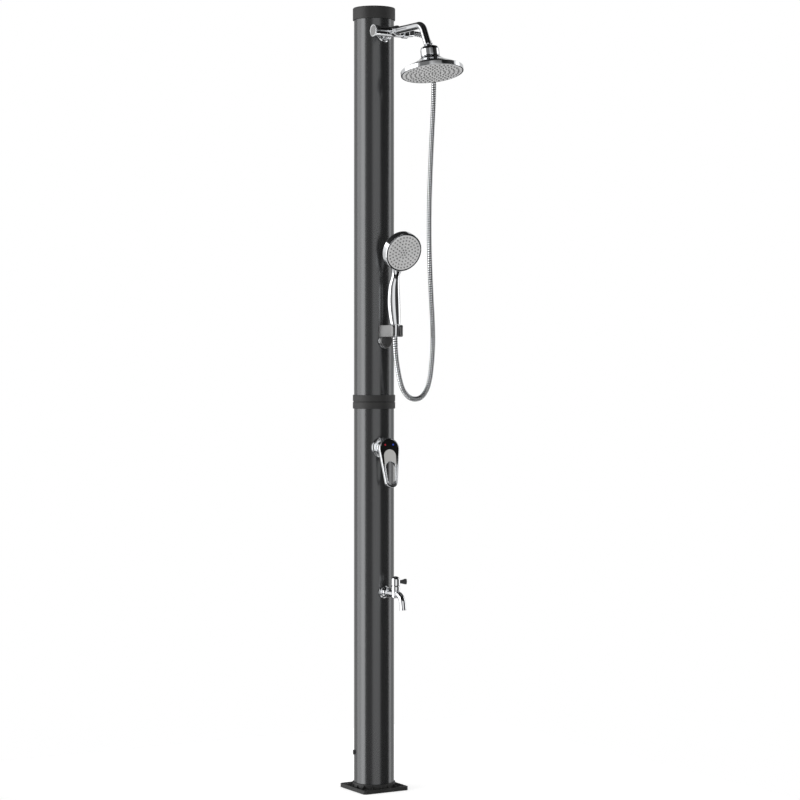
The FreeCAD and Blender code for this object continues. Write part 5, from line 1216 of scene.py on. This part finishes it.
def hose_tree():
    tree, start, end = node_tree("wound hose", {
        "Radius": ("NodeSocketFloat", 0.007), "Pitch": ("NodeSocketFloat", 0.003),
        "Depth": ("NodeSocketFloat", 0.0004),
        "Rings Per Turn": ("NodeSocketFloat", 5.0), "Finish": ("NodeSocketMaterial", None),
    })
    even = add(tree, "GeometryNodeResampleCurve", mode="LENGTH")
    along = tree.nodes.new("GeometryNodeSplineParameter")
    keep_along = add(tree, "GeometryNodeCaptureAttribute", domain="POINT")
    keep_along.capture_items.new("FLOAT", "Along")
    section = add(tree, "GeometryNodeCurvePrimitiveCircle", Resolution=24)
    around = tree.nodes.new("GeometryNodeSplineParameter")
    keep_around = add(tree, "GeometryNodeCaptureAttribute", domain="POINT")
    keep_around.capture_items.new("FLOAT", "Around")
    tube = tree.nodes.new("GeometryNodeCurveToMesh")
    tube.inputs["Fill Caps"].default_value = True
    links = tree.links.new
    links(start.outputs["Geometry"], even.inputs["Curve"])
    links(math_node(tree, "DIVIDE", start.outputs["Pitch"], start.outputs["Rings Per Turn"]),
          even.inputs["Length"])
    links(even.outputs["Curve"], keep_along.inputs["Geometry"])
    links(along.outputs["Length"], keep_along.inputs["Along"])
    links(start.outputs["Radius"], section.inputs["Radius"])
    links(section.outputs["Curve"], keep_around.inputs["Geometry"])
    links(around.outputs["Factor"], keep_around.inputs["Around"])
    links(keep_along.outputs["Geometry"], tube.inputs["Curve"])
    links(keep_around.outputs["Geometry"], tube.inputs["Profile Curve"])
    turns = math_node(tree, "DIVIDE", keep_along.outputs["Along"], start.outputs["Pitch"])
    phase = math_node(tree, "FRACT", math_node(tree, "SUBTRACT", turns, keep_around.outputs["Around"]))
    groove = add(tree, "ShaderNodeMapRange", interpolation_type="SMOOTHSTEP")
    links(math_node(tree, "ABSOLUTE", math_node(tree, "SUBTRACT", phase, 0.5)), groove.inputs["Value"])
    groove.inputs["From Min"].default_value = 0.27
    groove.inputs["From Max"].default_value = 0.45
    sink = math_node(tree, "MULTIPLY",
                     math_node(tree, "MULTIPLY", groove.outputs["Result"], start.outputs["Depth"]), -1.0)
    normal = tree.nodes.new("GeometryNodeInputNormal")
    shift = add(tree, "ShaderNodeVectorMath", operation="SCALE")
    links(normal.outputs["Normal"], shift.inputs["Vector"])
    links(sink, shift.inputs["Scale"])
    moved = tree.nodes.new("GeometryNodeSetPosition")
    links(tube.outputs["Mesh"], moved.inputs["Geometry"])
    links(shift.outputs["Vector"], moved.inputs["Offset"])
    real = tree.nodes.new("GeometryNodeRealizeInstances")
    dressed = tree.nodes.new("GeometryNodeSetMaterial")
    # The groove mask is kept for the hose's finish, which uses it to paint shade into the grooves.
    noted = add(tree, "GeometryNodeStoreNamedAttribute", data_type="FLOAT", domain="POINT")
    noted.inputs["Name"].default_value = "groove"
    links(moved.outputs["Geometry"], noted.inputs["Geometry"])
    links(groove.outputs["Result"], noted.inputs["Value"])
    links(noted.outputs["Geometry"], real.inputs["Geometry"])
    links(real.outputs["Geometry"], dressed.inputs["Geometry"])
    links(start.outputs["Finish"], dressed.inputs["Material"])
    links(dressed.outputs["Geometry"], end.inputs["Geometry"])
    return tree


def route_curve(name, points):
    data = bpy.data.curves.new(name, "CURVE")
    data.dimensions = "3D"
    spline = data.splines.new("NURBS")
    spline.points.add(len(points) - 1)
    for point, at in zip(spline.points, points):
        point.co = (*(c * MM for c in at), 1)
    spline.order_u = 3
    spline.use_endpoint_u = True
    spline.resolution_u = 24
    return data


def line_of(curve):
    """The points of a curve's own smooth line, and its length."""
    host = bpy.data.objects.new("line", curve)
    bpy.context.scene.collection.objects.link(host)
    bpy.context.view_layer.update()
    mesh = bpy.data.meshes.new_from_object(host.evaluated_get(bpy.context.evaluated_depsgraph_get()))
    points = [v.co.copy() for v in mesh.vertices]
    bpy.data.objects.remove(host)
    bpy.data.meshes.remove(mesh)
    return points, sum((b - a).length for a, b in zip(points, points[1:]))


route = route_curve("hose_route", HOSE_ROUTE)
hose_line, hose_length = line_of(route)
hose_mesh = run_tree("hose_skin", route, hose_tree(), {
    "Radius": HOSE_R * MM, "Pitch": HOSE_PITCH * MM, "Depth": 0.95 * MM, "Rings Per Turn": 10.0,
    "Finish": GROOVE_SHADED_CHROME,
})
hose = finish_piece("hose_skin", hose_mesh, "hose", GROOVE_SHADED_CHROME, sharp=60)
print("hose", round(hose_length, 4), "m,", len(hose_mesh.polygons), "faces")

# %% Hose ends
def hose_ends():
    nut = [(0, 33), (10.6, 33), (15, 33, 0.6), (15.5, 34, 0.5), (15.5, 47, 0.8), (14, 48.6, 0.6),
           (10.9, 49.4, 1.5),
           (10.3, 58, 4), (9.3, 66, 0.8), (0, 66)]
    at = place((0, -DIVERTER_OUT, DIVERTER_Z), (1, 0, 0))
    top = turned_piece("hose_nut", nut, at, CHROME, 0.4, 80, 4)
    cone = [(0, 0), (8.6, 0, 0.8), (12.0, 33, 0.8), (0, 33)]
    at = place((0, -CRADLE_AXIS, CRADLE_Z), (0, 0, 1), (0, 1, 0))
    low = turned_piece("hose_cone", cone, at, CHROME, 0.4, 80, 4)
    return [top, low]


hose_ends()

# %% [markdown]
# ## Foot tap
# The foot tap is a small garden tap: a rosette, a short barrel with a hexagonal band, an upright valve
# chamber, a curved spout, and a domed handle with a paddle. The spout is swept along one bend with a wall
# that shows at its mouth. The paddle widens to its end, so it is a flat outline with rounded rims.

# %% Foot tap
TAP_Z = 545.0
TAP_OUT = 118.0
TAP = Vector((0, -TAP_OUT, TAP_Z))
SPOUT_END = Vector((0, -157, 504))
SPOUT_LEAN = math.radians(8)


def hex_outline(across):
    return [Vector((across / math.sqrt(3) * math.cos(math.pi / 3 * k),
                    across / math.sqrt(3) * math.sin(math.pi / 3 * k)))
            for k in range(6)]


def tap():
    flange("tap_flange", TAP_Z, FRONT, 17.0, 61.0, 10.7)
    forward = place((0, 0, TAP_Z), FRONT)
    upright = place(TAP, (0, 0, 1), (0, 1, 0))
    barrel = [(6, 38), (10.5, 38), (10.5, 60.5), (12.4, 60.5), (12.4, 64, 1.2), (9.5, 66, 1.5), (9.5, 118),
              (6, 118)]
    chamber = [(0, -11, 3), (8, -11, 3), (11, -9, 2.5), (11, 9), (11.6, 10, 0.5), (11.6, 12, 0.3), (0, 12)]
    down = Vector((0, -math.sin(SPOUT_LEAN), -math.cos(SPOUT_LEAN)))
    corner = SPOUT_END - down * 41 / math.cos(SPOUT_LEAN)
    line = bent_line([TAP, corner, SPOUT_END], 26, 1.5)
    bm = bmesh.new()
    sweep(bm, line, [8.8] * len(line), 48)
    lip = [(6.7, -4), (9.3, -4, 0.4), (9.3, -0.2, 0.6), (6.7, 0, 0.3)]
    mesh = joined(
        "tap_body_skin",
        turned("barrel", barrel, forward, 0.5, 64, 4),
        slab("band", [rounded([tuple(p) for p in hex_outline(24)], 1.2, 4)], 76, 83, forward, 0.8, 4),
        turned("chamber", chamber, upright, 0.5, 64, 5),
        to_mesh("spout", bm, Matrix.Scale(MM, 4)),
        turned("lip", lip, place(SPOUT_END, down), 0.3, 48),
    )
    finish_piece("tap_body_skin", mesh, "tap_body", CHROME)
    bonnet = [(4.1, 12), (11.6, 12, 0.3), (11.6, 19.5, 1.0), (10.4, 22, 0.6), (4.1, 22)]
    turned_piece("tap_bonnet", bonnet, upright, CHROME, 0.4, 64, 4)


def tap_lever():
    upright = place(TAP, (0, 0, 1), (0, 1, 0))
    dome = [(11.8 * math.cos(a), 38 + 10 * math.sin(a)) for a in (math.pi / 2 * k / 10 for k in range(1, 10))]
    hub = [(4.2, 22.3), (11.2, 22.3, 0.6), (11.8, 24, 1.0), (11.8, 38, 2), *[(r, z, 0.0) for r, z in dome],
           (0, 48), (0, 32), (4.2, 32)]
    half_root, half_end = 5.0, 8.5
    end = [(29, half_end - 0.6, 3), (33.4, half_end - 1.2, 3), (34.4, 0, 12), (33.4, -half_end + 1.2, 3),
           (29, -half_end + 0.6, 3)]
    outline = rounded([(4, half_root), (15, half_root - 0.6, 6), *end, (15, -half_root + 0.6, 6),
                       (4, -half_root)], 0.6, 5)
    lift = Matrix.Translation(TAP * MM + Vector((0, 0, 32 * MM)))
    at = lift @ Matrix.Rotation(math.radians(90), 4, "X") @ Matrix.Scale(MM, 4)
    paddle = slab("paddle", [outline], -3.5, 3.5, at, 1.4, 5)
    mesh = joined("tap_handle_skin", turned("hub", hub, upright, 0.4, 64, 4), paddle)
    finish_piece("tap_handle_skin", mesh, "tap_handle", CHROME)


tap()
tap_lever()
print("foot tap at", TAP_Z, "mm")

# %% [markdown]
# ## Light, floor and background
# Chrome is only as good as what it mirrors. The room is pale and plain, so the world gives an even light,
# and what mirrors see of it has tall dark cards set round the post, as a photographer uses, a dark ceiling
# and a dark band below, so that round metal gets its dark lines whichever way it runs. The camera itself
# sees plain white. Three tall soft lamps give the tube its stripes.

# %% World
def world():
    made = bpy.data.worlds.new("studio")
    bpy.context.scene.world = made
    made.use_nodes = True
    tree = made.node_tree
    tree.nodes.clear()
    end = tree.nodes.new("ShaderNodeOutputWorld")
    paths = tree.nodes.new("ShaderNodeLightPath")
    spot = tree.nodes.new("ShaderNodeTexCoord")
    parts = tree.nodes.new("ShaderNodeSeparateXYZ")
    tree.links.new(spot.outputs["Generated"], parts.inputs["Vector"])
    bearing = math_node(tree, "ARCTAN2", parts.outputs["Y"], parts.outputs["X"])
    lit = 1.0
    for centre, half, dark, soft in CARDS:
        off = math_node(tree, "SUBTRACT", bearing, bearing_of(centre))
        away = math_node(tree, "ABSOLUTE", math_node(tree, "WRAP", off, math.pi, -math.pi))
        card = ramp(tree, away, math.radians(half - soft), math.radians(half + soft), dark, 1.0)
        lit = math_node(tree, "MULTIPLY", lit, card)
    ceiling = ramp(tree, parts.outputs["Z"], 0.42, 0.52, 1.0, CEILING)
    above = ramp(tree, parts.outputs["Z"], -0.4, -0.32, DARK_BAND, 1.0)
    below = ramp(tree, parts.outputs["Z"], -0.72, -0.62, 1.0, DARK_BAND)
    heights = math_node(tree, "MULTIPLY", ceiling, math_node(tree, "MAXIMUM", above, below))
    studio = math_node(tree, "MULTIPLY", math_node(tree, "MULTIPLY", lit, heights), WALL_LEVEL)
    shiny = math_node(tree, "MAXIMUM", paths.outputs["Is Glossy Ray"], paths.outputs["Is Transmission Ray"])
    levels = math_node(tree, "ADD", math_node(tree, "MULTIPLY", shiny, studio),
                       paths.outputs["Is Camera Ray"])
    plain = math_node(tree, "SUBTRACT", 1.0,
                      math_node(tree, "MAXIMUM", shiny, paths.outputs["Is Camera Ray"]))
    total = math_node(tree, "ADD", levels, math_node(tree, "MULTIPLY", plain, WORLD_LEVEL))
    light = add(tree, "ShaderNodeBackground", Color=(1, 1, 1, 1))
    tree.links.new(total, light.inputs["Strength"])
    tree.links.new(light.outputs["Background"], end.inputs["Surface"])


def bearing_of(degrees):
    """The angle about +Z of a direction so many degrees to the camera's right, seen from the post."""
    direction = Matrix.Rotation(math.radians(degrees), 3, "Z") @ back
    return math.atan2(direction.y, direction.x)


# How far to the camera's right each card stands, half its width, how much light it leaves, and its soft edge.
CARDS = ((-30, 22, 0.2, 8), (66, 29, 0.05, 4), (180, 58, 0.75, 4))
CEILING = 0.03
DARK_BAND = 0.06
WALL_LEVEL = 0.8
WORLD_LEVEL = 0.72
world()
print("world with", len(CARDS), "cards")


# %% Lamps and floor
FLOOR = 0.9  # half the side of the floor, in metres
CAMERA_GLOW = 0.42


def lamp(name, degrees, distance, height, size, radiance):
    """A tall soft box that faces the post. Its power follows from how bright its face looks."""
    data = bpy.data.lights.new(name, "AREA")
    data.shape = "RECTANGLE"
    data.size, data.size_y = size
    data.energy = radiance * math.pi * size[0] * size[1]
    obj = bpy.data.objects.new(name, data)
    direction = Matrix.Rotation(math.radians(degrees), 3, "Z") @ back
    obj.location = direction * distance + Vector((0, 0, height))
    obj.rotation_euler = direction.to_track_quat("Z", "Y").to_euler()
    bpy.context.scene.collection.objects.link(obj)


def floor():
    """A pale floor, brighter to the camera so that it runs into the background, and open to mirrors."""
    mesh = bpy.data.meshes.new("floor")
    mesh.from_pydata([(-FLOOR, -FLOOR, 0), (FLOOR, -FLOOR, 0), (FLOOR, FLOOR, 0), (-FLOOR, FLOOR, 0)], [],
                     [(0, 1, 2, 3)])
    made = bpy.data.materials.new("pale floor")
    made.use_nodes = True
    tree = made.node_tree
    shader = tree.nodes["Principled BSDF"]
    shader.inputs["Base Color"].default_value = (0.86, 0.86, 0.86, 1)
    shader.inputs["Roughness"].default_value = 0.9
    shader.inputs["Emission Color"].default_value = (1, 1, 1, 1)
    paths = tree.nodes.new("ShaderNodeLightPath")
    tree.links.new(math_node(tree, "MULTIPLY", paths.outputs["Is Camera Ray"], CAMERA_GLOW),
                   shader.inputs["Emission Strength"])
    clear = tree.nodes.new("ShaderNodeBsdfTransparent")
    either = tree.nodes.new("ShaderNodeMixShader")
    tree.links.new(paths.outputs["Is Glossy Ray"], either.inputs["Fac"])
    tree.links.new(shader.outputs["BSDF"], either.inputs[1])
    tree.links.new(clear.outputs["BSDF"], either.inputs[2])
    tree.links.new(either.outputs["Shader"], tree.nodes["Material Output"].inputs["Surface"])
    mesh.materials.append(made)
    obj = bpy.data.objects.new("floor", mesh)
    bpy.context.scene.collection.objects.link(obj)


# Name, degrees to the camera's right, distance, height of the middle, size, and how bright the face looks.
LAMPS = (
    ("left rear softbox", -95.5, 3.0, 1.1, (1.66, 4.2), 1.15),
    ("left front softbox", -65.5, 3.0, 1.1, (1.44, 4.2), 2.05),
    ("right strip", 106.5, 2.6, 1.1, (0.87, 4.2), 0.9),
)
for entry in LAMPS:
    lamp(*entry)
floor()
print("lamps:", len(LAMPS))
